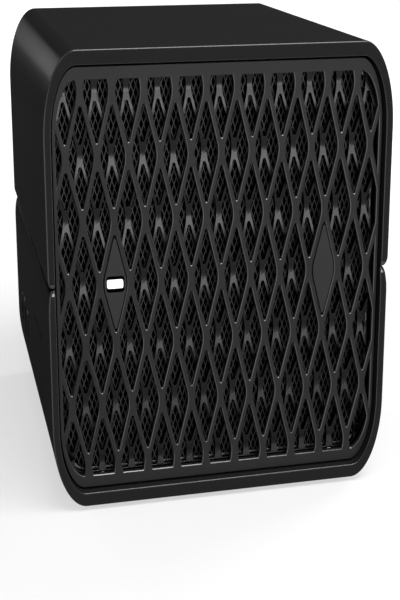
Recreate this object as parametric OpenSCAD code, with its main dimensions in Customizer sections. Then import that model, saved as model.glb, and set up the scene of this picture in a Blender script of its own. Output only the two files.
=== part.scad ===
// Compact upright desktop workstation: two shells form a sleeve round a steel chassis, with a
// layered intake lattice in front, a row of sockets low on the left side and more at the rear.
// +Z is up, the front faces -Y, and the origin is on the floor under the middle of the casing.

/* [Casing] */
// Width of the casing
body_w = 148; // [140:1:170]
// Height of the casing above its feet
body_h = 198; // [190:1:230]
// Depth of the casing, from the front lip to the rear edge
body_d = 165; // [158:1:200]
// Height of the lower shell, up to the parting groove
split_h = 99; // [92:1:110]
// Wall thickness of both shells
wall = 3.2; // [2.8:0.1:4]
// Half width of the elliptical corner
corner_x = 14; // [11:0.5:17]
// Half height of the elliptical corner
corner_z = 37; // [30:1:44]
// Height of the band that frames both openings at the top and bottom
lip_h = 6.4; // [5:0.1:8]
// Depth of that band
lip_d = 5; // [4:0.5:6]
// Height of the rubber feet
foot_h = 2; // [1.5:0.1:4]
// Radius of the rubber feet
foot_r = 6; // [4:0.5:8]
// Distance of the feet from the front and rear edges
foot_inset = 20; // [15:1:30]

/* [Parting groove] */
// Depth of the groove between the shells
groove_d = 1.9; // [1:0.1:2.2]
// Height of the rounded shoulder above the groove
shoulder_up = 5; // [3:0.5:8]
// Height of the rounded shoulder below the groove
shoulder_down = 11.5; // [8:0.5:15]
// Open line between the two shells
shell_gap = 0.4; // [0.3:0.1:0.8]
// Running clearance of the cover on its rails
slide_gap = 0.3; // [0.2:0.05:0.5]
// Thickness of the guide rails
rail_t = 1.6; // [1.2:0.1:2.2]
// Height of the guide rails above the groove
rail_h = 6; // [4:0.5:10]
// Depth of the shallow panel let into the left side
panel_cut = 0.8; // [0.4:0.1:1.2]
// Length of that panel
panel_l = 38; // [30:1:44]
// Distance of that panel from the front edge
panel_y = 31; // [26:1:36]
// Height of that panel's upper edge above the underside
panel_top = 65; // [55:1:75]

/* [Intake lattice] */
// Distance of the lattice behind the front lip
grille_recess = 3.4; // [2:0.1:5]
// Gap between the lattice frame and the sides of the opening
side_gap = 0.7; // [0.5:0.1:1]
// Gap between the lattice frame and the top and bottom of the opening
rim_gap = 1.2; // [0.8:0.1:2]
// Width of the frame along the sides
rim_side = 1.3; // [1:0.1:2]
// Width of the frame along the top and bottom
rim_top = 5.2; // [4.6:0.1:7]
// Sideways pitch of the diamonds
pitch_x = 13; // [12:0.1:14]
// Upward pitch of the diamonds
pitch_z = 54.3; // [50:0.1:58]
// Width of the diagonal bars
bar_w = 1.8; // [1.4:0.1:2.4]
// Rounding of the diamonds' sharp tips
tip_r = 0.35; // [0.2:0.05:0.6]
// Rounding of the diamonds' blunt sides
side_r = 18; // [8:1:24]
// Thickness of the front lattice
grille_t = 2.2; // [1.6:0.1:3]
// Clearance between the layers of the intake
stack_gap = 0.3; // [0.2:0.1:0.6]
// Depth of the folds in the inner lattice
fold_d = 2.8; // [1.5:0.1:4]
// Sheet thickness of the inner lattice
fold_t = 1.4; // [1:0.1:2]
// Thickness of the dust mesh
mesh_t = 0.8; // [0.5:0.1:1.2]
// Sideways pitch of the dust mesh
mesh_x = 9.2; // [8.8:0.1:12]
// Upward pitch of the dust mesh
mesh_z = 19; // [18:0.5:26]
// Width of the dust mesh's wires
mesh_bar = 1; // [0.8:0.1:1.6]
// Radius of the posts behind the front lattice
post_r = 1.9; // [1.7:0.1:2.2]
// Sideways distance between those posts
post_span = 104; // [98:1:112]

/* [Power button] */
// Gap round the diamond button and the blank plate
button_gap = 0.35; // [0.25:0.05:0.5]
// Width of the lit bar
light_w = 6.6; // [5:0.1:6.8]
// Height of the lit bar
light_h = 4.4; // [3:0.1:4.8]
// Dark margin round the lit bar
light_margin = 0.35; // [0.2:0.05:0.45]
// Width of the button's stem
stem_w = 5; // [4:0.5:6]
// Height of the button's stem
stem_h = 9; // [8:0.5:11]
// Clearance of the stem in its guide
guide_gap = 0.25; // [0.15:0.05:0.4]
// Wall of the guide
guide_wall = 1.6; // [1.2:0.1:2]
// Depth of the guide's block behind the chassis
guide_d = 8; // [7:0.5:10]
// Height of that block
guide_h = 30; // [28:1:36]
// Side of the square push switch
switch_w = 5; // [4:0.5:5.5]
// Depth of the push switch's body
switch_d = 3.4; // [3:0.1:3.8]
// Radius of its plunger
plunger_r = 1.5; // [1.2:0.1:1.8]
// How far the plunger stands out
plunger_out = 1.3; // [1.1:0.1:1.6]
// How far the plunger sits inside the switch
plunger_in = 2; // [1.5:0.1:2.2]
// Width of the flat lead from the switch board
lead_w = 8; // [6:0.5:10]
// Thickness of that lead
lead_t = 0.5; // [0.4:0.1:0.8]
// Thickness of the flange on the blank plate
plate_flange = 0.8; // [0.5:0.1:1.2]

/* [Chassis] */
// Thickness of the sheet steel
sheet = 1.2; // [1:0.1:1.6]
// Clearance of the sheet steel at its edges
edge_gap = 0.5; // [0.3:0.1:0.8]
// Distance of the rear panel inside the rear edge
rear_recess = 8; // [7.5:0.5:12]
// Depth of the rear panel's foot
foot_flange = 12; // [10:1:16]
// Width of the exhaust slots
slot_w = 3; // [2:0.5:3.5]
// Length of the exhaust slots
slot_l = 24; // [18:1:28]
// Sideways pitch of the exhaust slots
slot_pitch = 6; // [5:0.5:7]
// Radius of the small machine screws
screw_r = 1; // [0.8:0.1:1.2]
// Clearance round every screw
screw_gap = 0.1; // [0.05:0.05:0.2]
// Radius of a small screw head
head_r = 1.9; // [1.7:0.1:2.2]
// Height of a small screw head
head_h = 1.2; // [1:0.1:1.6]

/* [Cover screws] */
// Radius of the captive screws' shafts
thumb_r = 1.5; // [1.2:0.1:1.8]
// Running clearance of those shafts
thumb_gap = 0.08; // [0.05:0.01:0.1]
// Radius of their heads
thumb_head_r = 4.4; // [4:0.1:5]
// Length of their heads
thumb_head_l = 4; // [3:0.1:4.5]
// Radius of the notches round their heads
thumb_notch = 0.4; // [0.3:0.05:0.5]
// Width and depth of the slot across their heads
thumb_slot = 1; // [0.8:0.1:1.4]
// Distance of those screws from the middle
thumb_x = 36; // [30:1:42]
// Width of the cover's rear tabs
tab_w = 14; // [12:1:18]
// Height of the cover's rear tabs below the opening's edge
tab_h = 12; // [11:0.5:14]

/* [Fans] */
// Side of the square fan frames
fan_size = 80; // [76:1:82]
// Depth of the fans
fan_t = 20; // [18:1:25]
// Gap between the two fans
fan_gap = 1; // [0.5:0.5:3]
// Wall left round a fan's duct
fan_wall = 2.5; // [2:0.1:3]
// Radial gap between blades and duct
blade_gap = 1.2; // [0.8:0.1:2]
// Thickness of the blades
blade_t = 1.4; // [1:0.1:2]
// Tilt of the blades
blade_tilt = 38; // [30:1:42]
// Number of blades
blade_count = 7; // [5:1:9]
// Radius of the rotor's hub
hub_r = 16; // [14:1:18]
// Wall of the hub's cup
cup_t = 2; // [1.5:0.1:2.5]
// Clearance behind the rotor, and half of the clearance in front of it
rotor_gap = 1; // [0.8:0.1:1.2]
// Thickness of the motor's base and its struts
motor_t = 3; // [2.5:0.1:3.5]
// Wall of the bearing round the shaft
bearing_wall = 3; // [2:0.1:4]
// Radius of the rotor's shaft
shaft_r = 1.5; // [1.2:0.1:2]
// Running clearance of the shaft
shaft_gap = 0.05; // [0.02:0.01:0.1]
// Distance of the fan screws from a frame's edge
fan_screw_inset = 4.25; // [4:0.05:5]
// Radius of the fan screws
fan_screw_r = 1.6; // [1.4:0.1:1.8]

/* [Main board] */
// Thickness of the circuit boards
board_t = 1.6; // [1.2:0.1:2]
// Height of the standoffs
standoff_h = 5; // [4:0.5:6]
// Radius of the standoffs
standoff_r = 2.5; // [2.2:0.1:3]
// Clearance between the board and its neighbours
board_gap = 4; // [3:0.5:5]
// Side of the processor
chip_w = 32; // [28:1:36]
// Height of the processor
chip_t = 1.8; // [1.5:0.1:2.5]
// Length of a memory module
memory_l = 67.6; // [60:0.1:68]
// Width of a memory module
memory_w = 30; // [28:1:31]
// Thickness of a memory module
memory_t = 3.2; // [2.6:0.1:3.8]
// Depth of the memory socket's bar
memory_socket = 6; // [5:0.5:7]
// Length of the storage card
drive_l = 80; // [70:1:82]
// Width of the storage card
drive_w = 22; // [20:1:23]
// Thickness of the storage card
drive_t = 3.4; // [2.4:0.1:4]
// Length of the wireless card
radio_l = 30; // [26:1:32]
// Width of the wireless card
radio_w = 17; // [14:1:18]
// Thickness of the wireless card
radio_t = 2.6; // [2:0.1:3]
// Radius of the clock battery
cell_r = 10; // [9:0.5:10]
// Thickness of the clock battery
cell_t = 3.2; // [2.5:0.1:4]

/* [Heat sink] */
// Side of the cold plate
cold_w = 44; // [42:1:46]
// Thickness of the cold plate
cold_t = 8; // [7:0.5:9]
// Radius of the heat pipes
pipe_r = 2.9; // [2.4:0.1:3]
// Clearance round the heat pipes
pipe_gap = 0.05; // [0.03:0.01:0.1]
// Distance between neighbouring heat pipes
pipe_pitch = 14; // [12:0.5:15]
// Bend radius of the heat pipes
pipe_bend = 8; // [7:0.5:10]
// Number of fins
fin_count = 26; // [16:1:26]
// Distance between fins
fin_pitch = 2.6; // [2:0.1:2.7]
// Thickness of a fin
fin_t = 0.5; // [0.3:0.1:0.8]
// Depth of a fin along the air flow
fin_d = 50; // [44:1:56]
// Height of a fin
fin_h = 72; // [68:1:76]

/* [Power supply] */
// Height of the power supply
supply_h = 43; // [38:1:46]
// Depth of the power supply
supply_d = 104; // [90:1:106]
// Sheet thickness of its case
supply_wall = 1; // [0.8:0.1:1.4]
// Clearance beside the power supply
supply_gap = 2; // [1:0.5:3]
// Radius of the supply cable
cable_r = 3; // [2.5:0.1:3.5]
// Bend radius of the supply cable
cable_bend = 9; // [8:0.5:10]

/* [Sockets] */
// Outside width of the mains inlet
inlet_w = 27; // [26:0.5:28]
// Outside height of the mains inlet
inlet_h = 19.6; // [19:0.2:21]
// Wall of the mains inlet
inlet_wall = 1.5; // [1.2:0.1:1.6]
// Depth of the mains inlet's hollow
inlet_d = 16; // [14:0.5:17]
// Length of the inlet's blades
pin_l = 12; // [10:0.5:13]
// Width of those blades
pin_w = 2; // [1.6:0.1:2.4]
// Height of those blades
pin_h = 4; // [3.6:0.1:4.4]
// Width of the hollow of a large serial socket
usb_w = 12.5; // [12:0.1:13]
// Height of the hollow of a large serial socket
usb_h = 5.1; // [4.8:0.1:5.4]
// Width of the hollow of a small serial socket
port_c_w = 8.4; // [8:0.1:8.8]
// Height of the hollow of a small serial socket
port_c_h = 2.6; // [2.4:0.1:2.8]
// Wall of the metal socket shells
shell_t = 0.6; // [0.4:0.1:0.8]
// Depth of the socket shells
socket_d = 14; // [12:0.5:16]
// Width of the network socket
net_w = 16; // [15:0.5:17]
// Height of the network socket
net_h = 13.4; // [12.5:0.1:14]
// Depth of the network socket
net_d = 16; // [14:0.5:17]
// Width of a display socket's hollow
display_w = 16; // [15:0.5:17]
// Height of a display socket's hollow
display_h = 4.8; // [4.4:0.1:5.2]
// Distance between neighbouring rear sockets
rear_pitch = 20; // [19:0.5:22]
// Distance between neighbouring side sockets
side_pitch = 15; // [14:0.5:16]
// Height of the side sockets above the underside
side_port_z = 43; // [40:1:48]
// Distance of the rearmost side socket from the rear edge
side_port_y = 28; // [26:0.5:34]
// Radius of the audio socket's bore
jack_r = 1.8; // [1.76:0.02:2]
// Wall round that bore
jack_wall = 2.6; // [2:0.1:3]
// Distance of the sockets' plastic tongues behind their mouths
tongue_back = 2; // [1:0.1:3]
// Clearance round each socket in its panel
socket_gap = 0.4; // [0.3:0.1:0.6]

/* [Hidden] */
$fn = 48;

// Segments in each quarter of an elliptical corner, and in each rounding of a diamond
corner_steps = 14;
tip_steps = 2;
shoulder_steps = 8;
// Overlap that lets two volumes of one piece join
join = 0.2;
// Margin that carries a cut past the faces it goes through
past = 1;

// Main levels of the casing
half_w = body_w / 2;
front_y = -body_d / 2;
back_y = body_d / 2;
top_z = foot_h + body_h;
mid_z = foot_h + body_h / 2;
split_z = foot_h + split_h;
inner_w = half_w - wall;
floor_z = foot_h + wall;

// Lattice frame, which also sets the outline of every plate that the cover slides over
frame_w = inner_w - side_gap;
frame_h = body_h / 2 - lip_h - rim_gap;
frame_rx = corner_x - wall - side_gap;
frame_rz = corner_z - lip_h - rim_gap;
window_w = frame_w - rim_side;
window_h = frame_h - rim_top;
window_rx = frame_rx - rim_side;
window_rz = frame_rz - rim_top;
post_z = frame_h - rim_top / 2;

// Layers of the front, from the lip inwards
grille_y = front_y + grille_recess;
lattice_y = grille_y + grille_t + stack_gap;
mesh_y = lattice_y + fold_d + fold_t;
bulkhead_y = mesh_y + mesh_t;
fan_y = bulkhead_y + sheet;
fan_back = fan_y + fan_t;
panel_back_y = back_y - rear_recess;
panel_front_y = panel_back_y - sheet;

// Chassis and main board
plate_w = half_w - corner_x - edge_gap;
deck_z = floor_z + sheet;
tray_x = plate_w - sheet;
tray_top = mid_z + frame_h - edge_gap;
board_back_x = tray_x - standoff_h;
board_x = board_back_x - board_t;
board_y0 = fan_back + board_gap;
board_y1 = panel_front_y - edge_gap;
board_z0 = deck_z + 2 * board_gap;
board_z1 = tray_top - board_gap;
// The button's column, counted in pitches from the middle, and the fans that keep clear of its guide
button_column = 3.5;
button_x = -button_column * pitch_x;
plate_x = button_column * pitch_x;
guide_in_w = stem_w + 2 * guide_gap;
guide_w = guide_in_w + 2 * guide_wall;
fan_x = max(0, button_x + guide_w / 2 + edge_gap + fan_size / 2);
fan_step = fan_size + fan_gap;
fan_z = [mid_z - fan_step / 2, mid_z + fan_step / 2];
duct_r = fan_size / 2 - fan_wall;
blade_r = duct_r - blade_gap;

// Processor and what is stacked on it and laid out below it
chip_y = fan_back + 4 * board_gap + fin_d / 2;
chip_z = board_z1 - radio_w - 2 * board_gap - cold_w / 2;
chip_x = board_x - chip_t;
cold_x = chip_x - cold_t;
pipe_x = cold_x + cold_t / 2;
pipe_leg_z = cold_w / 2 - join + pipe_bend;
fin_x = cold_x - pipe_bend / 2 - fin_t;
drive_top = chip_z - cold_w / 2 - board_gap;
memory_top = drive_top - drive_w - board_gap;
card_y = board_y0 + board_gap;
standoff_y = board_y1 - socket_d - 2 * board_gap;
card_t = 1;
memory_step = memory_t + shell_t;
cell_y = chip_y + cold_w / 2 + cell_r;
cell_z = board_z1 - cell_r - board_gap;

// Side sockets, on a board that stands on bosses of the left wall
side_y = [for (i = [0:2]) back_y - side_port_y - i * side_pitch];
side_z = foot_h + side_port_z;
socket_face_x = -half_w + wall / 2;
side_board_x = socket_face_x + socket_d;
jack_body_r = jack_r + jack_wall;
side_boss_y = side_pitch + jack_body_r + standoff_r + supply_gap;
side_board_w = 2 * side_boss_y + 4 * head_r;
side_board_h = 2 * usb_w;

// Power supply, between the side board and the tallest rear socket
serial_h = 2 * usb_h + 3 * shell_t;
supply_top = deck_z + supply_h;
supply_x = [side_board_x + board_t + head_h + supply_gap, board_x - max(net_h, serial_h) - supply_gap];
supply_y = [panel_front_y - supply_d, panel_front_y - foot_flange];
supply_z = [deck_z, supply_top];
inlet_x = supply_x[0] + inlet_w / 2 + 3 * supply_gap;
inlet_z = deck_z + supply_h / 2;
plug_l = 4 * cable_r;
plug_w = 4 * cable_r;
cable_x = supply_x[1] - 2 * cable_r - supply_wall;
cable_y = card_y + memory_l + plug_w;
cable_z = supply_top + cable_bend + cable_r;
// Places of the inlet's blades from its middle
pin_places = [[-7, -2], [0, 2], [7, -2]];

// Rear sockets, counted upwards along the main board's rear edge
rear_port_z = [for (i = [0:4]) board_z0 + rear_pitch * (i + 0.5)];
socket_back_y = panel_back_y + shell_t;
// Shares of a socket's hollow that its plastic tongue fills
tongue_w = 0.8;
tongue_h = 0.3;

// Power button
guide_in_h = stem_h + 2 * guide_gap;
switch_board_y = fan_y + guide_d;
plunger_y = switch_board_y - switch_d - plunger_out;
guide_screw_z = guide_h / 2 - 2 * head_r;

// Cover screws
thumb_z = mid_z + frame_h - tab_h / 2;
tab_y = panel_back_y + slide_gap;
tab_back_y = back_y - lip_d + join;

// Helpers: placed outlines, screws and repeated patterns

// Points of an elliptical arc
function arc(cx, cz, rx, rz, a0, a1, steps) =
    [for (i = [0:steps]) let (a = a0 + (a1 - a0) * i / steps) [cx + rx * cos(a), cz + rz * sin(a)]];

function reversed(p) = [for (i = [len(p) - 1:-1:0]) p[i]];

// A path on the right side, continued by its mirror image on the left
function with_mirror(p) = concat(p, [for (i = [len(p) - 1:-1:0]) [-p[i][0], p[i][1]]]);

// One rounded corner at b, between its neighbours a and c
function fillet(a, b, c, r, steps) =
    let (u = (a - b) / norm(a - b), v = (c - b) / norm(c - b))
    let (half = acos(u * v) / 2, axis = (u + v) / norm(u + v))
    let (centre = b + axis * r / sin(half))
    let (start = b + u * r / tan(half) - centre, sweep = 180 - 2 * half)
    let (turn = sign(u[0] * v[1] - u[1] * v[0]))
    [for (i = [0:steps]) let (t = -turn * sweep * i / steps)
        centre + [start[0] * cos(t) - start[1] * sin(t), start[0] * sin(t) + start[1] * cos(t)]];

// Diamond opening between bars, with its edges set in from the bars' centre lines; a tip rounding
// of 0 leaves all four corners sharp
function diamond(px, pz, inset, r_tip, r_side) =
    let (a = px / 2, b = pz / 2, reach = a * b / norm([a, b]), k = (reach - inset) / reach)
    let (p = [[0, b * k], [-a * k, 0], [0, -b * k], [a * k, 0]])
    r_tip == 0 ? p :
    [for (i = [0:3]) let (r = i % 2 == 0 ? r_tip : r_side)
        each fillet(p[(i + 3) % 4], p[i], p[(i + 1) % 4], r, tip_steps)];

// Range of a given width about its middle, and a range made smaller at both ends
function about(middle, width) = [middle - width / 2, middle + width / 2];
function inside(range, margin) = [range[0] + margin, range[1] - margin];

// Extrudes an outline drawn in X and Z along Y
module along_y(y, length) {
    translate([0, y + length, 0])
        rotate([90, 0, 0])
            linear_extrude(length)
                children();
}

// Extrudes an outline drawn in Y and Z along X
module along_x(x, length) {
    translate([x, 0, 0])
        rotate([90, 0, 90])
            linear_extrude(length)
                children();
}

// Box over a range along each axis
module block(x, y, z) {
    translate([x[0], y[0], z[0]])
        cube([x[1] - x[0], y[1] - y[0], z[1] - z[0]]);
}

module rod_x(p, r, length) {
    translate(p)
        rotate([0, 90, 0])
            cylinder(r = r, h = length);
}

module rod_y(p, r, length) {
    translate(p)
        rotate([-90, 0, 0])
            cylinder(r = r, h = length);
}

module rod_z(p, r, length) {
    translate(p)
        cylinder(r = r, h = length);
}

// Machine screw with a hexagon socket: the shank runs up +Z from the seat, the head lies below it
module screw(length, r = screw_r, head = head_r, height = head_h) {
    difference() {
        union() {
            cylinder(r = r, h = length);
            translate([0, 0, -height])
                cylinder(r = head, h = height);
        }
        translate([0, 0, -height - past])
            cylinder(r = head / 2, h = height / 2 + past, $fn = 6);
    }
}

// Rectangle with elliptical corners, centred on the openings
module round_rect(w, h, rx, rz) {
    right = concat(
        arc(w - rx, mid_z - h + rz, rx, rz, -90, 0, corner_steps),
        arc(w - rx, mid_z + h - rz, rx, rz, 0, 90, corner_steps));
    polygon(with_mirror(right));
}

module frame_outline() {
    round_rect(frame_w, frame_h, frame_rx, frame_rz);
}

module window_outline() {
    round_rect(window_w, window_h, window_rx, window_rz);
}

// Staggered diamonds that fill the window; shift is 0 or 1 and moves them by half a pitch
module diamond_field(px, pz, inset, shift, r_tip, r_side) {
    columns = ceil(window_w / px * 2) + 1;
    rows = ceil(window_h / pz * 2) + 1;
    for (c = [-columns:columns], r = [-rows:rows])
        if ((c + r + shift) % 2 == 0 && abs(c) * px / 2 < window_w + px / 2 - inset - rim_side
            && abs(r) * pz / 2 < window_h + pz / 2 - 2 * inset - rim_side)
            translate([c * px / 2, mid_z + r * pz / 2])
                polygon(diamond(px, pz, inset, r_tip, r_side));
}

module lattice_openings(shift) {
    intersection() {
        window_outline();
        diamond_field(pitch_x, pitch_z, bar_w / 2, shift, tip_r, side_r);
    }
}

// Positions of the posts that join the layers of the intake
module at_posts() {
    for (sx = [-1, 1], sz = [-1, 1])
        translate([sx * post_span / 2, 0, mid_z + sz * post_z])
            children();
}

module post_holes(y, length) {
    at_posts()
        rod_y([0, y, 0], post_r + screw_gap, length);
}

// Shells

// Half ring of a shell: side is 1 for the upper one and -1 for the lower one
module shell_profile(side, band) {
    edge_z = split_z + side * shell_gap / 2;
    shoulder = side > 0 ? shoulder_up : shoulder_down;
    end_z = side > 0 ? top_z : foot_h;
    neck_x = half_w - groove_d;
    corner = [half_w - corner_x, end_z - side * corner_z];
    outer = concat(
        arc(neck_x, edge_z + side * shoulder, groove_d, side * shoulder, -90, 0, shoulder_steps),
        arc(corner[0], corner[1], corner_x, side * corner_z, 0, 90, corner_steps));
    inner = concat(
        [[inner_w, edge_z]],
        arc(corner[0], corner[1], corner_x - wall, side * (corner_z - band), 0, 90, corner_steps));
    polygon(concat(with_mirror(outer), reversed(with_mirror(inner))));
}

// The groove turns round both ends of the casing
module end_grooves() {
    reach = half_w + past;
    low = split_z - shell_gap / 2 - shoulder_down;
    high = split_z + shell_gap / 2 + shoulder_up;
    profile = concat(
        arc(groove_d, low, -groove_d, shoulder_down, 0, 90, shoulder_steps),
        reversed(arc(groove_d, high, -groove_d, -shoulder_up, 0, 90, shoulder_steps)));
    outline = concat([[-past, low]], profile, [[-past, high]]);
    for (side = [-1, 1])
        along_x(-reach, 2 * reach)
            polygon([for (p = outline) [side * (body_d / 2 - p[0]), p[1]]]);
}

module shell(side) {
    difference() {
        union() {
            along_y(front_y, lip_d)
                shell_profile(side, lip_h);
            along_y(front_y + lip_d, body_d - 2 * lip_d)
                shell_profile(side, wall);
            along_y(back_y - lip_d, lip_d)
                shell_profile(side, lip_h);
        }
        end_grooves();
    }
}

// Rails inside the lower shell that guide the cover
module rails() {
    outer_x = inner_w - slide_gap;
    inner_x = outer_x - rail_t;
    length = panel_front_y - fan_y - 2 * edge_gap;
    for (side = [0, 1])
        mirror([side, 0, 0])
            along_y(fan_y + edge_gap, length) {
                translate([inner_x, split_z - rail_h])
                    square([rail_t, 2 * rail_h]);
                translate([inner_x, split_z - rail_h])
                    square([rail_t + slide_gap + join, rail_h - shell_gap / 2]);
            }
}

// Places of the two screws that hold the side board
module at_side_screws() {
    for (s = [-1, 1])
        translate([0, side_y[1] + s * side_boss_y, side_z])
            children();
}

// Bosses on the left wall that carry the side board, with their screw holes
module side_bosses() {
    at_side_screws()
        difference() {
            rod_x([-inner_w - join, 0, 0], standoff_r, side_board_x + inner_w + join);
            rod_x([-inner_w + past, 0, 0], screw_r + screw_gap, body_w);
        }
}

// Mouths of the three side sockets, cut through the left wall
module side_mouths() {
    x = [-half_w - past, -inner_w + past];
    margin = 2 * (shell_t + socket_gap);
    rod_x([x[0], side_y[0], side_z], jack_body_r + socket_gap, x[1] - x[0]);
    block(x, about(side_y[1], usb_h + margin), about(side_z, usb_w + margin));
    block(x, about(side_y[2], port_c_h + margin), about(side_z, port_c_w + margin));
}

module at_feet() {
    for (sx = [-1, 1], sy = [-1, 1])
        translate([sx * (plate_w - foot_r - board_gap), sy * (body_d / 2 - foot_inset), 0])
            children();
}

// Chassis screws: the front pair holds the deck, the rear pair holds the rear panel's foot as well
module at_chassis_screws() {
    x = plate_w - 2 * foot_r - 3 * board_gap;
    for (sx = [-1, 1]) {
        translate([sx * x, fan_back - head_r, deck_z])
            children();
        translate([sx * x, panel_front_y - foot_flange / 2, deck_z + sheet])
            children();
    }
}

module lower_shell() {
    color("#262626")
        difference() {
            union() {
                shell(-1);
                rails();
                side_bosses();
            }
            side_mouths();
            at_feet()
                rod_z([0, 0, foot_h - past], foot_r / 2 + screw_gap, past + wall / 2);
            at_chassis_screws()
                rod_z([0, 0, -2 * sheet - wall / 2], screw_r + screw_gap, 2 * wall);
            block([-half_w - past, -half_w + panel_cut], [front_y + panel_y, front_y + panel_y + panel_l],
                [foot_h - past, foot_h + panel_top]);
        }
}

module upper_shell() {
    color("#1c1c1c") {
        shell(1);
        for (sx = [-1, 1])
            difference() {
                block(about(sx * thumb_x, tab_w), [tab_y, tab_back_y],
                    [mid_z + frame_h - tab_h, top_z - wall + join]);
                rod_y([sx * thumb_x, tab_y - past, thumb_z], thumb_r + thumb_gap, body_d);
            }
    }
}

module rubber_feet() {
    color("#101010")
        at_feet() {
            cylinder(r = foot_r, h = foot_h);
            cylinder(r = foot_r / 2, h = foot_h + wall / 2);
        }
}

// Chassis

// Opening for the button's guide through a sheet that starts at y
module guide_cut(y, thickness) {
    block(about(button_x, guide_w + 2 * socket_gap), [y - past, y + thickness + past],
        about(mid_z, guide_in_h + 2 * guide_wall + 2 * socket_gap));
}

module at_guide_screws() {
    for (s = [-1, 1])
        translate([button_x, 0, mid_z + s * guide_screw_z])
            children();
}

module at_fan_screws() {
    inset = fan_size / 2 - fan_screw_inset;
    for (z = fan_z, sx = [-1, 1], sz = [-1, 1])
        translate([fan_x + sx * inset, 0, z + sz * inset])
            children();
}

module chassis_frame() {
    window_y = [board_y0 + 3 * board_gap, standoff_y - 2 * board_gap];
    window_z = [chip_z - cold_w, chip_z + cold_w / 2 + board_gap];
    color("#8d9196")
        difference() {
            union() {
                along_y(bulkhead_y, sheet)
                    frame_outline();
                block(about(0, 2 * (plate_w - corner_x)), [bulkhead_y, fan_y], [floor_z, mid_z]);
                block([-plate_w, plate_w], [bulkhead_y, panel_front_y], [floor_z, deck_z]);
                block([tray_x, plate_w], [bulkhead_y, panel_front_y], [floor_z, tray_top]);
            }
            for (z = fan_z)
                rod_y([fan_x, bulkhead_y - past, z], duct_r, sheet + 2 * past);
            at_fan_screws()
                rod_y([0, bulkhead_y - past, 0], fan_screw_r + screw_gap, sheet + 2 * past);
            at_posts()
                rod_y([0, bulkhead_y - past, 0], screw_r + screw_gap, sheet + 2 * past);
            guide_cut(bulkhead_y, sheet);
            at_guide_screws()
                rod_y([0, bulkhead_y - past, 0], screw_r + screw_gap, sheet + 2 * past);
            block([tray_x - past, plate_w + past], window_y, window_z);
            at_standoffs()
                rod_x([tray_x - past, 0, 0], screw_r + screw_gap, sheet + 2 * past);
            at_chassis_screws()
                rod_z([0, 0, -3 * sheet], screw_r + screw_gap, 4 * sheet);
        }
}

module chassis_screws() {
    color("#b9bcc0")
        at_chassis_screws()
            mirror([0, 0, 1])
                screw(2 * sheet + wall / 4);
}

// Cuts in the rear panel for the sockets and the exhaust air
module rear_cuts() {
    y = [panel_front_y - past, panel_back_y + past];
    margin = 2 * (shell_t + socket_gap);
    vent_x = supply_x[0] + slot_w;
    vent_columns = floor((fin_x - vent_x) / slot_pitch);
    row_step = slot_l + slot_w;
    vent_top = mid_z + frame_h - tab_h - slot_w;
    vent_rows = floor((vent_top - supply_top) / row_step);
    for (row = [1:vent_rows], c = [0:vent_columns])
        along_y(y[0], y[1] - y[0])
            translate([vent_x + c * slot_pitch, vent_top - (row - 0.5) * row_step]) {
                square([slot_w, slot_l - slot_w], center = true);
                for (s = [-1, 1])
                    translate([0, s * (slot_l - slot_w) / 2])
                        circle(d = slot_w);
            }
    block(about(inlet_x, inlet_w + 2 * socket_gap), y, about(inlet_z, inlet_h + 2 * socket_gap));
    block(about(board_x - net_h / 2, net_h + 2 * socket_gap), y,
        about(rear_port_z[0], net_w + 2 * socket_gap));
    for (i = [1, 2])
        block(about(board_x - serial_h / 2, serial_h + 2 * socket_gap), y,
            about(rear_port_z[i], usb_w + margin));
    for (i = [3, 4])
        block(about(board_x - shell_t - display_h / 2, display_h + margin), y,
            about(rear_port_z[i], display_w + margin));
}

module rear_panel() {
    foot_w = plate_w - foot_r;
    color("#2a2b2d")
        difference() {
            union() {
                along_y(panel_front_y, sheet)
                    frame_outline();
                block([-foot_w, foot_w], [panel_front_y, panel_back_y], [deck_z, inlet_z]);
                block([-foot_w, foot_w], [supply_y[1], panel_back_y], [deck_z, deck_z + sheet]);
            }
            rear_cuts();
            for (sx = [-1, 1])
                rod_y([sx * thumb_x, panel_front_y - past, thumb_z], thumb_r + thumb_gap, sheet + 2 * past);
            at_chassis_screws()
                rod_z([0, 0, -2 * sheet], screw_r + screw_gap, 3 * sheet);
        }
}

// Intake at the front

module front_grille() {
    back = grille_y + grille_t;
    color("#3c3c3e")
        difference() {
            union() {
                along_y(grille_y, grille_t)
                    difference() {
                        frame_outline();
                        lattice_openings(1);
                    }
                at_posts()
                    rod_y([0, back - join, 0], post_r, bulkhead_y - back + join);
            }
            at_posts()
                rod_y([0, back, 0], screw_r + screw_gap, body_d);
        }
}

// Zigzag cross-section of the folded lattice: furthest back at every row of its crossings
module fold_section() {
    step = pitch_z / 4;
    count = ceil(frame_h / step) + 1;
    front = [for (i = [-count:count]) [lattice_y + (i % 2 == 0 ? fold_d : 0), mid_z + i * step]];
    polygon(concat(front, [for (p = reversed(front)) p + [fold_t, 0]]));
}

// Room behind the button and the blank plate
module plate_rooms(y, length, inset) {
    for (x = [button_x, plate_x])
        along_y(y, length)
            translate([x, mid_z])
                polygon(diamond(pitch_x, pitch_z, inset, tip_r, side_r));
}

module inner_lattice() {
    depth = fold_d + fold_t;
    color("#333335")
        difference() {
            union() {
                along_y(lattice_y, depth)
                    difference() {
                        frame_outline();
                        window_outline();
                    }
                intersection() {
                    along_y(lattice_y, depth)
                        difference() {
                            frame_outline();
                            lattice_openings(0);
                        }
                    along_x(-half_w, body_w)
                        fold_section();
                }
            }
            post_holes(lattice_y - past, depth + 2 * past);
            plate_rooms(lattice_y - past, depth + 2 * past, -stack_gap);
        }
}

module dust_mesh() {
    color("#1a1a1b")
        difference() {
            along_y(mesh_y, mesh_t)
                difference() {
                    frame_outline();
                    intersection() {
                        window_outline();
                        diamond_field(mesh_x, mesh_z, mesh_bar / 2, 0, 0, 0);
                    }
                }
            post_holes(mesh_y - past, mesh_t + 2 * past);
            guide_cut(mesh_y, mesh_t);
        }
}

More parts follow.
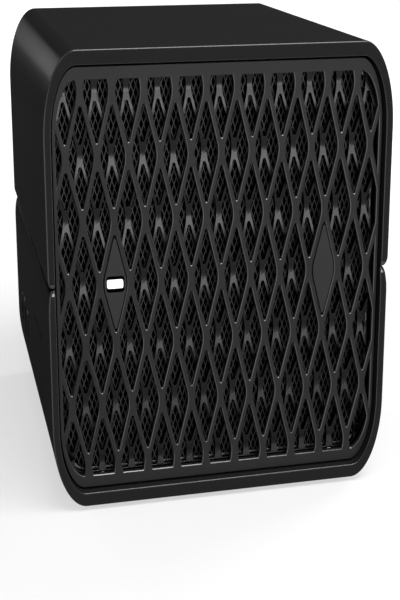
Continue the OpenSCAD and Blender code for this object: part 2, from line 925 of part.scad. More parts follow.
module grille_screws() {
    color("#b9bcc0")
        at_posts()
            translate([0, fan_y, 0])
                rotate([90, 0, 0])
                    screw(fan_y - grille_y - grille_t - sheet);
}

// Plain diamond insert that fills one opening of the lattice, held by a flange behind it
module blank_plate() {
    color("#47484a") {
        along_y(grille_y, grille_t)
            translate([plate_x, mid_z])
                polygon(diamond(pitch_x, pitch_z, bar_w / 2 + button_gap, tip_r, side_r));
        along_y(grille_y + grille_t, plate_flange)
            translate([plate_x, mid_z])
                polygon(diamond(pitch_x, pitch_z, bar_w / 4, tip_r, side_r));
    }
}

// Power button

// Place of the lit bar, made larger by a margin
module light_slot(margin, y, length) {
    block(about(button_x, light_w + 2 * margin), [y, y + length], about(mid_z, light_h + 2 * margin));
}

module power_button() {
    color("#303032") {
        difference() {
            along_y(grille_y, grille_t)
                translate([button_x, mid_z])
                    polygon(diamond(pitch_x, pitch_z, bar_w / 2 + button_gap, tip_r, side_r));
            light_slot(light_margin, grille_y - past, grille_t + 2 * past);
        }
        block(about(button_x, stem_w), [grille_y + grille_t, plunger_y], about(mid_z, stem_h));
    }
}

module light_bar() {
    color("white") {
        light_slot(0, grille_y, grille_t);
        light_slot(light_margin, grille_y + grille_t / 2, grille_t / 2);
    }
}

module button_guide() {
    front = lattice_y + fold_t;
    color("#161617")
        difference() {
            union() {
                block(about(button_x, guide_w), [front, fan_y], about(mid_z, guide_in_h + 2 * guide_wall));
                block(about(button_x, guide_w), [fan_y, switch_board_y], about(mid_z, guide_h));
            }
            block(about(button_x, guide_in_w), [front - past, switch_board_y + past],
                about(mid_z, guide_in_h));
            at_guide_screws()
                rod_y([0, front - past, 0], screw_r + screw_gap, body_d);
        }
}

module button_board() {
    color("#1d4d33")
        difference() {
            block(about(button_x, guide_w), [switch_board_y, switch_board_y + board_t],
                about(mid_z, guide_h));
            at_guide_screws()
                rod_y([0, switch_board_y - past, 0], screw_r + screw_gap, board_t + 2 * past);
        }
}

module push_switch() {
    front = switch_board_y - switch_d;
    color("#2b2b2b")
        difference() {
            block(about(button_x, switch_w), [front, switch_board_y], about(mid_z, switch_w));
            rod_y([button_x, front - past, mid_z], plunger_r + shaft_gap, switch_d + 2 * past);
        }
}

module switch_plunger() {
    color("#c9c4b4")
        rod_y([button_x, plunger_y, mid_z], plunger_r, plunger_out + plunger_in);
}

module guide_screws() {
    color("#b9bcc0")
        at_guide_screws()
            translate([0, switch_board_y + board_t, 0])
                rotate([90, 0, 0])
                    screw(guide_d + board_t + sheet);
}

// Flat lead from the switch board, round the back of the fans to the main board
module button_lead() {
    start = switch_board_y + board_t;
    run_y = fan_back + head_h + edge_gap;
    color("#3a3a3c")
        translate([0, 0, mid_z - lead_w / 2])
            linear_extrude(lead_w)
                polygon([
                    [button_x, start], [button_x, run_y + lead_t], [board_x - 2 * lead_t, run_y + lead_t],
                    [board_x - 2 * lead_t, card_y], [board_x, card_y], [board_x, board_y0],
                    [board_x - lead_t, board_y0], [board_x - lead_t, run_y],
                    [button_x + lead_t, run_y], [button_x + lead_t, start]
                ]);
}

// Fans

module at_fan(i) {
    translate([fan_x, fan_y, fan_z[i]])
        rotate([-90, 0, 0])
            children();
}

// Square frame with the motor's base carried on four struts at the back
module fan_frame(i) {
    inset = fan_size / 2 - fan_screw_inset;
    bearing_l = fan_t - fan_t / 3;
    color("#242527")
        at_fan(i)
            difference() {
                union() {
                    difference() {
                        translate([-fan_size / 2, -fan_size / 2, 0])
                            cube([fan_size, fan_size, fan_t]);
                        translate([0, 0, -past])
                            cylinder(r = duct_r, h = fan_t + 2 * past);
                    }
                    translate([0, 0, fan_t - motor_t])
                        cylinder(r = hub_r, h = motor_t);
                    for (a = [45:90:315])
                        rotate([0, 0, a])
                            translate([0, -motor_t / 2, fan_t - motor_t])
                                cube([duct_r + motor_t / 2, motor_t, motor_t]);
                    translate([0, 0, fan_t - bearing_l])
                        cylinder(r = shaft_r + bearing_wall, h = bearing_l);
                }
                for (sx = [-1, 1], sy = [-1, 1])
                    translate([sx * inset, sy * inset, -past])
                        cylinder(r = fan_screw_r + 2 * screw_gap, h = fan_t + 2 * past);
                translate([0, 0, fan_t - bearing_l - past])
                    cylinder(r = shaft_r + shaft_gap, h = bearing_l);
            }
}

// Cup-shaped hub on its shaft, with swept blades
module fan_rotor(i) {
    front = 2 * rotor_gap;
    depth = fan_t - motor_t - front - rotor_gap;
    color("#2e2f32")
        at_fan(i) {
            difference() {
                translate([0, 0, front])
                    cylinder(r = hub_r, h = depth);
                translate([0, 0, front + cup_t])
                    cylinder(r = hub_r - cup_t, h = fan_t);
            }
            translate([0, 0, front])
                cylinder(r = shaft_r, h = depth);
            intersection() {
                difference() {
                    translate([0, 0, front])
                        cylinder(r = blade_r, h = depth);
                    cylinder(r = hub_r - cup_t / 2, h = fan_t);
                }
                for (b = [0:blade_count - 1])
                    rotate([0, 0, b * 360 / blade_count])
                        translate([hub_r - cup_t, 0, front + depth / 2])
                            rotate([blade_tilt, 0, 0])
                                translate([0, -fan_t, -blade_t / 2])
                                    cube([blade_r, 2 * fan_t, blade_t]);
            }
        }
}

module fan_frame_lower() {
    fan_frame(0);
}

module fan_frame_upper() {
    fan_frame(1);
}

module fan_rotor_lower() {
    fan_rotor(0);
}

module fan_rotor_upper() {
    fan_rotor(1);
}

module fan_screws() {
    color("#b9bcc0")
        at_fan_screws()
            translate([0, fan_back, 0])
                rotate([90, 0, 0])
                    screw(fan_t + sheet, fan_screw_r, fan_screw_r + head_r / 2, head_h);
}

// Main board and what is soldered or plugged into it

module at_standoffs() {
    edge = 2 * board_gap;
    for (z = [board_z0 + edge, chip_z])
        translate([0, board_y0 + edge, z])
            children();
    for (z = [board_z0 + edge, mid_z, board_z1 - edge])
        translate([0, standoff_y, z])
            children();
}

// Screw positions at the corners of the cold plate
module at_cold_screws() {
    inset = cold_w / 2 - head_r - 2 * edge_gap;
    for (sy = [-1, 1], sz = [-1, 1])
        translate([0, chip_y + sy * inset, chip_z + sz * inset])
            children();
}

module main_board() {
    color("#16432c")
        difference() {
            block([board_x, board_back_x], [board_y0, board_y1], [board_z0, board_z1]);
            at_standoffs()
                rod_x([board_x - past, 0, 0], screw_r + screw_gap, board_t + 2 * past);
            at_cold_screws()
                rod_x([board_x - past, 0, 0], screw_r + screw_gap, board_t + 2 * past);
        }
}

module board_standoffs() {
    color("#c8a85a")
        at_standoffs()
            difference() {
                rod_x([board_back_x, 0, 0], standoff_r, standoff_h);
                rod_x([board_back_x - past, 0, 0], screw_r + screw_gap, standoff_h + 2 * past);
            }
}

module board_screws() {
    color("#b9bcc0")
        at_standoffs()
            translate([board_x, 0, 0])
                rotate([0, 90, 0])
                    screw(board_t + standoff_h + sheet);
}

module processor() {
    color("#6f7478")
        block([chip_x, board_x], about(chip_y, chip_w), about(chip_z, chip_w));
}

module cold_plate() {
    color("#b8733d")
        difference() {
            block([cold_x, chip_x], about(chip_y, cold_w), about(chip_z, cold_w));
            for (i = [-1, 0, 1])
                rod_z([pipe_x, chip_y + i * pipe_pitch, chip_z - cold_w], pipe_r + pipe_gap, 2 * cold_w);
            at_cold_screws()
                rod_x([cold_x - past, 0, 0], screw_r + screw_gap, cold_t + 2 * past);
        }
}

// U-shaped pipes: through the cold plate, round a bend at each end and out through the fins
module heat_pipes() {
    leg = pipe_x - pipe_bend - fin_x + fin_count * fin_pitch;
    run = pipe_leg_z - pipe_bend;
    color("#c07a43")
        for (i = [-1, 0, 1])
            translate([pipe_x, chip_y + i * pipe_pitch, chip_z]) {
                translate([0, 0, -run])
                    cylinder(r = pipe_r, h = 2 * run);
                for (s = [0, 1])
                    mirror([0, 0, s])
                        translate([-pipe_bend, 0, run]) {
                            rotate([90, 0, 0])
                                rotate_extrude(angle = 90)
                                    translate([pipe_bend, 0])
                                        circle(r = pipe_r);
                            translate([0, 0, pipe_bend])
                                rotate([0, -90, 0])
                                    cylinder(r = pipe_r, h = leg);
                        }
            }
}

module heat_fins() {
    color("#c9ccd0")
        for (n = [0:fin_count - 1])
            along_x(fin_x - n * fin_pitch, fin_t)
                difference() {
                    translate([chip_y, chip_z])
                        square([fin_d, fin_h], center = true);
                    for (i = [-1, 0, 1], s = [-1, 1])
                        translate([chip_y + i * pipe_pitch, chip_z + s * pipe_leg_z])
                            circle(r = pipe_r + pipe_gap);
                }
}

module cold_plate_screws() {
    color("#b9bcc0")
        at_cold_screws()
            translate([cold_x, 0, 0])
                rotate([0, 90, 0])
                    screw(cold_t + chip_t + board_t);
}

module memory_socket_bars() {
    color("#202022")
        for (i = [0, 1])
            translate([-i * memory_step, i * shell_t, 0])
                block([board_x - memory_step, board_x], [card_y, card_y + memory_socket],
                    [memory_top - memory_w, memory_top]);
}

module memory_modules() {
    color("#1b5236")
        for (i = [0, 1])
            translate([-i * memory_step, 0, 0])
                block([board_x - memory_t, board_x],
                    [card_y + memory_socket + i * shell_t, card_y + memory_l],
                    [memory_top - memory_w, memory_top]);
}

module storage_card() {
    x = board_x - drive_t;
    z = [drive_top - drive_w, drive_top];
    margin = memory_socket / 2;
    step = (drive_l - memory_socket) / 3;
    color("#1a3c52") {
        block([x, x + card_t], [card_y, card_y + drive_l], z);
        block([x, board_x], [card_y, card_y + memory_socket], z);
        for (n = [0:2])
            block([x - card_t, x + join], about(card_y + memory_socket + step * (n + 0.5), step - margin),
                inside(z, margin));
    }
}

module wireless_card() {
    x = board_x - radio_t;
    z = [board_z1 - board_gap - radio_w, board_z1 - board_gap];
    margin = memory_socket / 3;
    color("#9a9da1") {
        block([x, x + card_t], [card_y, card_y + radio_l], z);
        block([x, board_x], [card_y, card_y + memory_socket], z);
        block([x - card_t, x + join], inside([card_y + memory_socket, card_y + radio_l], margin),
            inside(z, margin));
    }
}

module clock_battery() {
    color("#cfd2d6")
        rod_x([board_x - cell_t, cell_y, cell_z], cell_r, cell_t);
}

// Power supply

module supply_case() {
    slots = floor((supply_x[1] - supply_x[0]) / slot_pitch) - 2;
    color("#a5a9ad")
        difference() {
            block(supply_x, supply_y, supply_z);
            block(inside(supply_x, supply_wall), inside(supply_y, supply_wall),
                inside(supply_z, supply_wall));
            for (c = [0:slots])
                block(about(supply_x[0] + slot_pitch * (c + 1) + slot_w / 2, slot_w),
                    about(supply_y[0], 2 * (supply_wall + past)), inside(supply_z, supply_h / 4));
            block(about(inlet_x, inlet_w + 2 * socket_gap), [supply_y[1] - supply_wall - past, panel_front_y],
                about(inlet_z, inlet_h + 2 * socket_gap));
            rod_z([cable_x, cable_y, supply_top - supply_wall - past], cable_r + screw_gap,
                2 * past + supply_wall);
        }
}

// Board inside the power supply with its transformer, two capacitors and a cooling block
module supply_board() {
    low = deck_z + supply_wall + board_t;
    width = supply_x[1] - supply_x[0];
    tall = (supply_h - 4 * supply_wall - 2 * board_t) / 2;
    room_y = supply_y[1] - supply_wall - inlet_d - supply_y[0];
    color("#2f6a46") {
        block(inside(supply_x, 2 * supply_wall), inside(supply_y, 2 * supply_wall), [low - board_t, low]);
        block(inside(supply_x, width / 3), about(supply_y[0] + room_y / 2, room_y / 3),
            [low - join, low + tall]);
        block([supply_x[1] - width / 6, supply_x[1] - width / 8],
            about(supply_y[0] + room_y * 3 / 4, room_y / 2), [low - join, low + tall]);
        for (s = [1, 3])
            rod_z([supply_x[0] + width / 6, supply_y[0] + room_y * s / 4, low - join], width / 10, tall);
    }
}

// Cable from the supply up to its plug on the main board
module supply_cable() {
    low = supply_top - supply_wall;
    color("#181818") {
        rod_z([cable_x, cable_y, low], cable_r, cable_z - cable_bend - low);
        translate([cable_x + cable_bend, cable_y, cable_z - cable_bend])
            rotate([90, 0, 0])
                rotate_extrude(angle = 90, start = 90)
                    translate([cable_bend, 0])
                        circle(r = cable_r);
        rod_x([cable_x + cable_bend, cable_y, cable_z], cable_r, board_x - plug_l - cable_x - cable_bend);
    }
}

module cable_plug() {
    color("#d8d4c6")
        block([board_x - plug_l, board_x], about(cable_y, plug_w), about(cable_z, plug_w));
}

// Mains inlet: a moulded box with a hollow that opens to the rear
module mains_inlet() {
    back = panel_back_y + shell_t;
    front = back - inlet_d - inlet_wall;
    rim = 2 * inlet_wall;
    color("#141414")
        difference() {
            union() {
                block(about(inlet_x, inlet_w), [front, back], about(inlet_z, inlet_h));
                block(about(inlet_x, inlet_w + rim), [panel_back_y, back], about(inlet_z, inlet_h + rim));
            }
            block(about(inlet_x, inlet_w - rim), [front + inlet_wall, back + past],
                about(inlet_z, inlet_h - rim));
        }
}

module inlet_blades() {
    front = panel_back_y + shell_t - inlet_d;
    color("#c9ccd0")
        for (p = pin_places)
            block(about(inlet_x + p[0], pin_w), [front, front + pin_l], about(inlet_z + p[1], pin_h));
}

// Rear sockets, all standing on the main board's face and ending just behind the panel

// The two hollows of a rear serial socket, one above the other on the board
module at_serial_hollows() {
    for (n = [0, 1])
        translate([board_x - shell_t - n * (usb_h + shell_t), 0, 0])
            children();
}

module rear_serial_sockets() {
    front = socket_back_y - socket_d;
    color("#b4b7bb")
        for (i = [1, 2])
            difference() {
                block([board_x - serial_h, board_x], [front, socket_back_y],
                    about(rear_port_z[i], usb_w + 2 * shell_t));
                at_serial_hollows()
                    block([-usb_h, 0], [front + shell_t, socket_back_y + past], about(rear_port_z[i], usb_w));
            }
}

module rear_serial_tongues() {
    y = [socket_back_y - socket_d + shell_t, socket_back_y - tongue_back];
    color("#1b1b1b")
        for (i = [1, 2])
            at_serial_hollows()
                block(about(-usb_h * 5 / 8, usb_h * tongue_h), y, about(rear_port_z[i], usb_w * tongue_w));
}

module network_socket() {
    front = socket_back_y - net_d;
    hollow_y = [front + 2 * inlet_wall, socket_back_y + past];
    latch_x = board_x - net_h + 2 * inlet_wall;
    color("#9ea2a6")
        difference() {
            block([board_x - net_h, board_x], [front, socket_back_y], about(rear_port_z[0], net_w));
            block([latch_x, board_x - inlet_wall], hollow_y,
                about(rear_port_z[0], net_w - 2 * inlet_wall - 2 * shell_t));
            block([latch_x - inlet_wall, latch_x + join], hollow_y, about(rear_port_z[0], net_w * 2 / 5));
        }
}

module display_sockets() {
    front = socket_back_y - socket_d;
    middle = board_x - shell_t - display_h / 2;
    color("#b4b7bb")
        for (i = [3, 4])
            difference() {
                block(about(middle, display_h + 2 * shell_t), [front, socket_back_y],
                    about(rear_port_z[i], display_w + 2 * shell_t));
                block(about(middle, display_h), [front + shell_t, socket_back_y + past],
                    about(rear_port_z[i], display_w));
            }
}

module display_tongues() {
    y = [socket_back_y - socket_d + shell_t, socket_back_y - tongue_back];
    color("#1b1b1b")
        for (i = [3, 4])
            block(about(board_x - shell_t - display_h / 2, display_h * tongue_h), y,
                about(rear_port_z[i], display_w * tongue_w));
}

// Side sockets

module side_port_board() {
    color("#16432c")
        difference() {
            block([side_board_x, side_board_x + board_t], about(side_y[1], side_board_w),
                about(side_z, side_board_h));
            at_side_screws()
                rod_x([side_board_x - past, 0, 0], screw_r + screw_gap, board_t + 2 * past);
        }
}

module side_board_screws() {
    color("#b9bcc0")
        at_side_screws()
            translate([side_board_x + board_t, 0, 0])
                rotate([0, -90, 0])
                    screw(board_t + 2 * board_gap);
}

// The audio socket ends just behind the wall, whose mouth takes the plug's collar
module audio_jack() {
    x = [-inner_w + edge_gap, side_board_x];
    color("#1b1b1b")
        difference() {
            block(x, about(side_y[0], 2 * jack_body_r), about(side_z, 2 * jack_body_r));
            rod_x([x[0] - past, side_y[0], side_z], jack_r, x[1] - x[0] + past - shell_t);
        }
}

// Metal shell of a side socket, standing upright and open to the left
module side_shell(y, w, h) {
    difference() {
        block([socket_face_x, side_board_x], about(y, h + 2 * shell_t), about(side_z, w + 2 * shell_t));
        block([socket_face_x - past, side_board_x - shell_t], about(y, h), about(side_z, w));
    }
}

module side_serial_socket() {
    color("#b4b7bb")
        side_shell(side_y[1], usb_w, usb_h);
}

module side_small_socket() {
    color("#b4b7bb")
        side_shell(side_y[2], port_c_w, port_c_h);
}

module side_tongues() {
    x = [socket_face_x + tongue_back, side_board_x - shell_t];
    color("#1b1b1b") {
        block(x, about(side_y[1] + usb_h / 8, usb_h * tongue_h), about(side_z, usb_w * tongue_w));
        block(x, about(side_y[2], port_c_h * tongue_h), about(side_z, port_c_w * tongue_w));
    }
}

// Captive screws that hold the cover: sx is -1 on the left and 1 on the right
module thumb_screw(sx) {
    notches = 16;
    seat = tab_back_y + slide_gap;
    end = panel_front_y - edge_gap;
    color("#c4c7cb")
        translate([sx * thumb_x, seat, thumb_z])
            rotate([-90, 0, 0]) {
                difference() {
                    cylinder(r = thumb_head_r, h = thumb_head_l);
                    for (n = [0:notches - 1])
                        rotate([0, 0, n * 360 / notches])
                            translate([thumb_head_r, 0, -past])
                                cylinder(r = thumb_notch, h = thumb_head_l + 2 * past);
                    translate([-thumb_head_r, -thumb_slot / 2, thumb_head_l - thumb_slot])
                        cube([2 * thumb_head_r, thumb_slot, thumb_slot + past]);
                }
                translate([0, 0, end - seat])
                    cylinder(r = thumb_r, h = seat - end + join);
            }
}

module thumb_screw_left() {
    thumb_screw(-1);
}

module thumb_screw_right() {
    thumb_screw(1);
}

lower_shell();
upper_shell();
rubber_feet();
chassis_frame();
chassis_screws();
rear_panel();
front_grille();
inner_lattice();
dust_mesh();
grille_screws();
blank_plate();
power_button();
light_bar();
button_guide();
button_board();
push_switch();
switch_plunger();
guide_screws();
button_lead();
fan_frame_lower();
fan_frame_upper();
fan_rotor_lower();
fan_rotor_upper();
fan_screws();
main_board();
board_standoffs();
board_screws();
processor();
cold_plate();
heat_pipes();
heat_fins();
cold_plate_screws();
memory_socket_bars();
memory_modules();
storage_card();
wireless_card();
clock_battery();
supply_case();
supply_board();
supply_cable();
cable_plug();
mains_inlet();
inlet_blades();
rear_serial_sockets();
rear_serial_tongues();
network_socket();
display_sockets();
display_tongues();
side_port_board();
side_board_screws();
audio_jack();
side_serial_socket();
side_small_socket();
side_tongues();
thumb_screw_left();
thumb_screw_right();
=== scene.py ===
from math import cos, sin, pi, radians, hypot

import bmesh
import bpy
from mathutils import Euler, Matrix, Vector


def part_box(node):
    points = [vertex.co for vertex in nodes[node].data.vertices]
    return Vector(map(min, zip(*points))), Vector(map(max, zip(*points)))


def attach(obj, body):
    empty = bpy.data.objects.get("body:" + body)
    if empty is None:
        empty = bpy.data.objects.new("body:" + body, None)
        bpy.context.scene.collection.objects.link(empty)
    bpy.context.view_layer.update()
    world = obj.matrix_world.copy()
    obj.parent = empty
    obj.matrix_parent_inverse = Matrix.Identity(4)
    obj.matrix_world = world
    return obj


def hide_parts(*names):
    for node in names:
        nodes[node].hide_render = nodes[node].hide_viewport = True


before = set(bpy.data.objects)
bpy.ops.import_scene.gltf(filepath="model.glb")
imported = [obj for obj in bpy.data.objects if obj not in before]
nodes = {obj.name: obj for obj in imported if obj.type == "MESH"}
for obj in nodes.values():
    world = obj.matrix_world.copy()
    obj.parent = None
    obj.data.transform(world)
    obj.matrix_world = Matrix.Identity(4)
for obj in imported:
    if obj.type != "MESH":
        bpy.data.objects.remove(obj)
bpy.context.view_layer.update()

# Stage: a pale matt floor under a white sky. A soft light hangs overhead, a broad one stands in front, weak
# ones fill both sides, and a low one behind draws the soft band on the casing's upper left corner.
# The camera stands left of the middle and looks slightly down.
EYE, LOOK_DOWN, LOOK_RIGHT = (-0.12064, -0.55864, 0.26379), 14.545, 13.068
SENSOR, FOCAL_PIXELS, PICTURE_PIXELS = 36, 1222, 600
camera_data = bpy.data.cameras.new("camera")
camera = bpy.data.objects.new("camera", camera_data)
bpy.context.scene.collection.objects.link(camera)
camera.location = EYE
camera.rotation_euler = Euler((radians(90 - LOOK_DOWN), 0, radians(-LOOK_RIGHT)), "XYZ")
camera_data.sensor_width = SENSOR
camera_data.lens = SENSOR * FOCAL_PIXELS / PICTURE_PIXELS
camera_data.shift_y = -0.17
camera_data.clip_start = 0.01
bpy.context.scene.camera = camera
bpy.context.scene.view_settings.view_transform = "Standard"


def soft_light(name, place, size, power, target=(0, 0, 0.1)):
    """A rectangular light at a place, turned to face the object."""
    data = bpy.data.lights.new(name, "AREA")
    data.shape = "RECTANGLE"
    data.size, data.size_y = size
    data.energy = power
    light = bpy.data.objects.new(name, data)
    bpy.context.scene.collection.objects.link(light)
    light.location = place
    light.rotation_euler = (Vector(target) - Vector(place)).to_track_quat("-Z", "Y").to_euler()


soft_light("top_light", (0.25, -0.45, 1.30), (1.0, 0.5), power=13)
soft_light("front_light", (0.30, -3.00, 0.60), (2.0, 0.75), power=54)
soft_light("left_light", (-0.90, 0.10, 0.75), (0.4, 0.3), power=0.5)
soft_light("rim_light", (-0.70, 2.26, 0.24), (0.5, 0.34), power=24, target=(-0.07, 0, 0.17))
soft_light("right_light", (1.0, 0.45, 0.50), (0.3, 0.4), power=5)


def seen_by(tree, *kinds):
    """A value that is 1 for rays of these kinds and 0 for all others."""
    rays = tree.nodes.new("ShaderNodeLightPath")
    total = rays.outputs[kinds[0]]
    for kind in kinds[1:]:
        either = tree.nodes.new("ShaderNodeMath")
        either.operation = "ADD"
        tree.links.new(total, either.inputs[0])
        tree.links.new(rays.outputs[kind], either.inputs[1])
        total = either.outputs[0]
    return total


def ramp(tree, value, start, stop, first, last):
    """Maps a value from the range start to stop on to the range first to last."""
    made = tree.nodes.new("ShaderNodeMapRange")
    for key, number in (("From Min", start), ("From Max", stop), ("To Min", first), ("To Max", last)):
        made.inputs[key].default_value = number
    tree.links.new(value, made.inputs["Value"])
    return made


SKY_WHITE, SKY_FILL, SKY_OVERHEAD = 1.0, 0.15, 0.6
HORIZON, HIGH_SKY = -0.02, 0.3
world = bpy.data.worlds.new("studio")
bpy.context.scene.world = world
world.use_nodes = True
studio = world.node_tree
studio.nodes.clear()
direction = studio.nodes.new("ShaderNodeTexCoord")
split = studio.nodes.new("ShaderNodeSeparateXYZ")
studio.links.new(direction.outputs["Generated"], split.inputs[0])
mirrored = ramp(studio, split.outputs["Z"], HORIZON, HIGH_SKY, SKY_WHITE, SKY_OVERHEAD)
plain = ramp(studio, seen_by(studio, "Is Camera Ray", "Is Transmission Ray"), 0, 1, SKY_FILL, SKY_WHITE)
level = studio.nodes.new("ShaderNodeMix")
studio.links.new(seen_by(studio, "Is Glossy Ray"), level.inputs["Factor"])
studio.links.new(plain.outputs[0], level.inputs["A"])
studio.links.new(mirrored.outputs[0], level.inputs["B"])
sky = studio.nodes.new("ShaderNodeBackground")
sky.inputs["Color"].default_value = (1, 1, 1, 1)
studio.links.new(level.outputs["Result"], sky.inputs["Strength"])
world_out = studio.nodes.new("ShaderNodeOutputWorld")
studio.links.new(sky.outputs[0], world_out.inputs[0])

FLOOR_REACH, FLOOR_GREY = 6, 0.45
NEAR, NEAR_GLOW, FAR, FAR_GLOW = 0.15, 0.56, 0.8, 0.95
floor_mesh = bpy.data.meshes.new("floor")
floor_corners = [(sx * FLOOR_REACH, sy * FLOOR_REACH, 0) for sx, sy in ((-1, -1), (1, -1), (1, 1), (-1, 1))]
floor_mesh.from_pydata(floor_corners, [], [(0, 1, 2, 3)])
floor = bpy.data.objects.new("floor", floor_mesh)
bpy.context.scene.collection.objects.link(floor)
floor_paint = bpy.data.materials.new("pale_floor")
floor_paint.use_nodes = True
floor_tree = floor_paint.node_tree
floor_shader = floor_tree.nodes["Principled BSDF"]
floor_shader.inputs["Base Color"].default_value = (FLOOR_GREY, FLOOR_GREY, FLOOR_GREY, 1)
floor_shader.inputs["Specular IOR Level"].default_value = 0.0
floor_shader.inputs["Emission Color"].default_value = (1, 1, 1, 1)
floor_place = floor_tree.nodes.new("ShaderNodeTexCoord")
away = floor_tree.nodes.new("ShaderNodeVectorMath")
away.operation = "LENGTH"
floor_tree.links.new(floor_place.outputs["Object"], away.inputs[0])
paler = ramp(floor_tree, away.outputs["Value"], NEAR, FAR, NEAR_GLOW, FAR_GLOW)
floor_seen = seen_by(floor_tree, "Is Camera Ray", "Is Glossy Ray", "Is Transmission Ray")
glow = ramp(floor_tree, floor_seen, 0, 1, 0, 1)
floor_tree.links.new(paler.outputs[0], glow.inputs["To Max"])
floor_tree.links.new(glow.outputs[0], floor_shader.inputs["Emission Strength"])
floor_mesh.materials.append(floor_paint)

# Casing: two die-cast halves with a fine satin paint. They form a sleeve with tall rounded corners,
# part in a groove at mid-height, and end in a narrow band round both openings.
CASE_W, CASE_H, CASE_D, FOOT = 0.148, 0.198, 0.165, 0.002
SPLIT_Z, WALL = FOOT + 0.099, 0.0032
CORNER_X, CORNER_Z = 0.014, 0.037
LIP_H, LIP_D = 0.0064, 0.005
GROOVE, SHOULDER_UP, SHOULDER_DOWN, SEAM = 0.0019, 0.005, 0.0115, 0.0004
EDGE_ROUND, LIP_ROUND = 0.0010, 0.0006
FRONT_TURN, SHOULDER_TURN, SHOULDER_MARGIN = (0.25, 0.94), (0.22, 0.97), 0.001
SHOULDER_STEPS, WALL_STEPS, CORNER_STEPS, EDGE_STEPS = 12, 6, 32, 4
SIDE_Y, SIDE_Z = (0.0545, 0.0395, 0.0245), 0.045
JACK_R, BIG_MOUTH, SMALL_MOUTH, MOUTH_ROUND = 0.0048, (0.0071, 0.0145), (0.0046, 0.0104), 0.0005
SIDE_MARKS = ((SIDE_Y[0], 0.0545, 0.0012, 0.0012), (SIDE_Y[1], 0.0565, 0.0012, 0.0030),
              (SIDE_Y[2], 0.0545, 0.0012, 0.0020))
MARK_POCKET, CUT_OUTSIDE, CUT_INSIDE = 0.0001, 0.002, 0.001
SLIT_Y, SLIT_Z, SLIT_D = (-0.0505, -0.0135), (0.0671, 0.0680), 0.0016
PANEL_Y, PANEL_Z, PANEL_D = (-0.0515, -0.0135), (-0.001, 0.067), 0.0009
PANEL_FADE, PANEL_OUTSIDE = 0.00005, 0.001
RAIL_Y, RAIL_H, RAIL_T, RAIL_GAP, RAIL_ROUND = (-0.0699, 0.0728), 0.012, 0.0016, 0.0003, 0.0003
POST_Y, POST_R, POST_L, SINK = (0.0634, 0.0156), 0.0025, 0.0126, 0.0002
TAB_X, TAB_W, TAB_Y, TAB_Z, TAB_ROUND = 0.036, 0.014, (0.0748, 0.0777), (0.1804, 0.197), 0.0004
TAB_HOLE_Y, TAB_HOLE_Z, TAB_HOLE_R, TAB_HOLE_L = 0.07, 0.1864, 0.00158, 0.02


def about(middle, width):
    """The range of a width round a middle."""
    return middle - width / 2, middle + width / 2


def quarter(steps, start=0):
    """The angles of a quarter turn in even steps."""
    return [radians(start + 90 * n / steps) for n in range(steps + 1)]


def link(name, mesh):
    piece = bpy.data.objects.new(name, mesh)
    bpy.context.scene.collection.objects.link(piece)
    return piece


def settle(piece):
    """Turns what the modifiers make into the piece's own plain mesh."""
    depsgraph = bpy.context.evaluated_depsgraph_get()
    mesh = bpy.data.meshes.new_from_object(piece.evaluated_get(depsgraph))
    piece.modifiers.clear()
    piece.data = mesh
    return piece


def soften(piece, sharp=35):
    """Smooth shading that keeps flat faces flat beside their rounded edges."""
    piece.data.shade_smooth()
    piece.data.set_sharp_from_angle(angle=radians(sharp))
    even = piece.modifiers.new("even", "WEIGHTED_NORMAL")
    even.keep_sharp = True
    even.weight = 80
    return settle(piece)


def cut(piece, tool):
    """Takes the tool's volume out of the piece."""
    knife = piece.modifiers.new("cut", "BOOLEAN")
    knife.operation = "DIFFERENCE"
    knife.solver = "EXACT"
    knife.object = tool
    bpy.context.view_layer.update()
    settle(piece)
    bpy.data.objects.remove(tool)


def rounded_box(bm, x, y, z, r=0.0004):
    """Adds a box over a range on each axis, with its edges rounded."""
    made = bmesh.ops.create_cube(bm, size=1)["verts"]
    for v in made:
        v.co = Vector((x[0] + (v.co.x + 0.5) * (x[1] - x[0]), y[0] + (v.co.y + 0.5) * (y[1] - y[0]),
                       z[0] + (v.co.z + 0.5) * (z[1] - z[0])))
    edges = {e for v in made for e in v.link_edges}
    if r > 0:
        bmesh.ops.bevel(bm, geom=list(edges), offset=r, segments=2, affect="EDGES", profile=0.5)


def rod(bm, start, axis, r, length, sides=32):
    """Adds a closed round bar from a point along an axis."""
    turn = Vector((0, 0, 1)).rotation_difference(Vector(axis)).to_matrix().to_4x4()
    turn.translation = Vector(start) + Vector(axis) * length / 2
    bmesh.ops.create_cone(bm, cap_ends=True, segments=sides, radius1=r, radius2=r, depth=length, matrix=turn)


def mesh_of(name, build):
    """A new piece with the closed shapes that a function adds to a mesh."""
    bm = bmesh.new()
    build(bm)
    bmesh.ops.recalc_face_normals(bm, faces=bm.faces)
    mesh = bpy.data.meshes.new(name)
    bm.to_mesh(mesh)
    bm.free()
    return link(name, mesh)


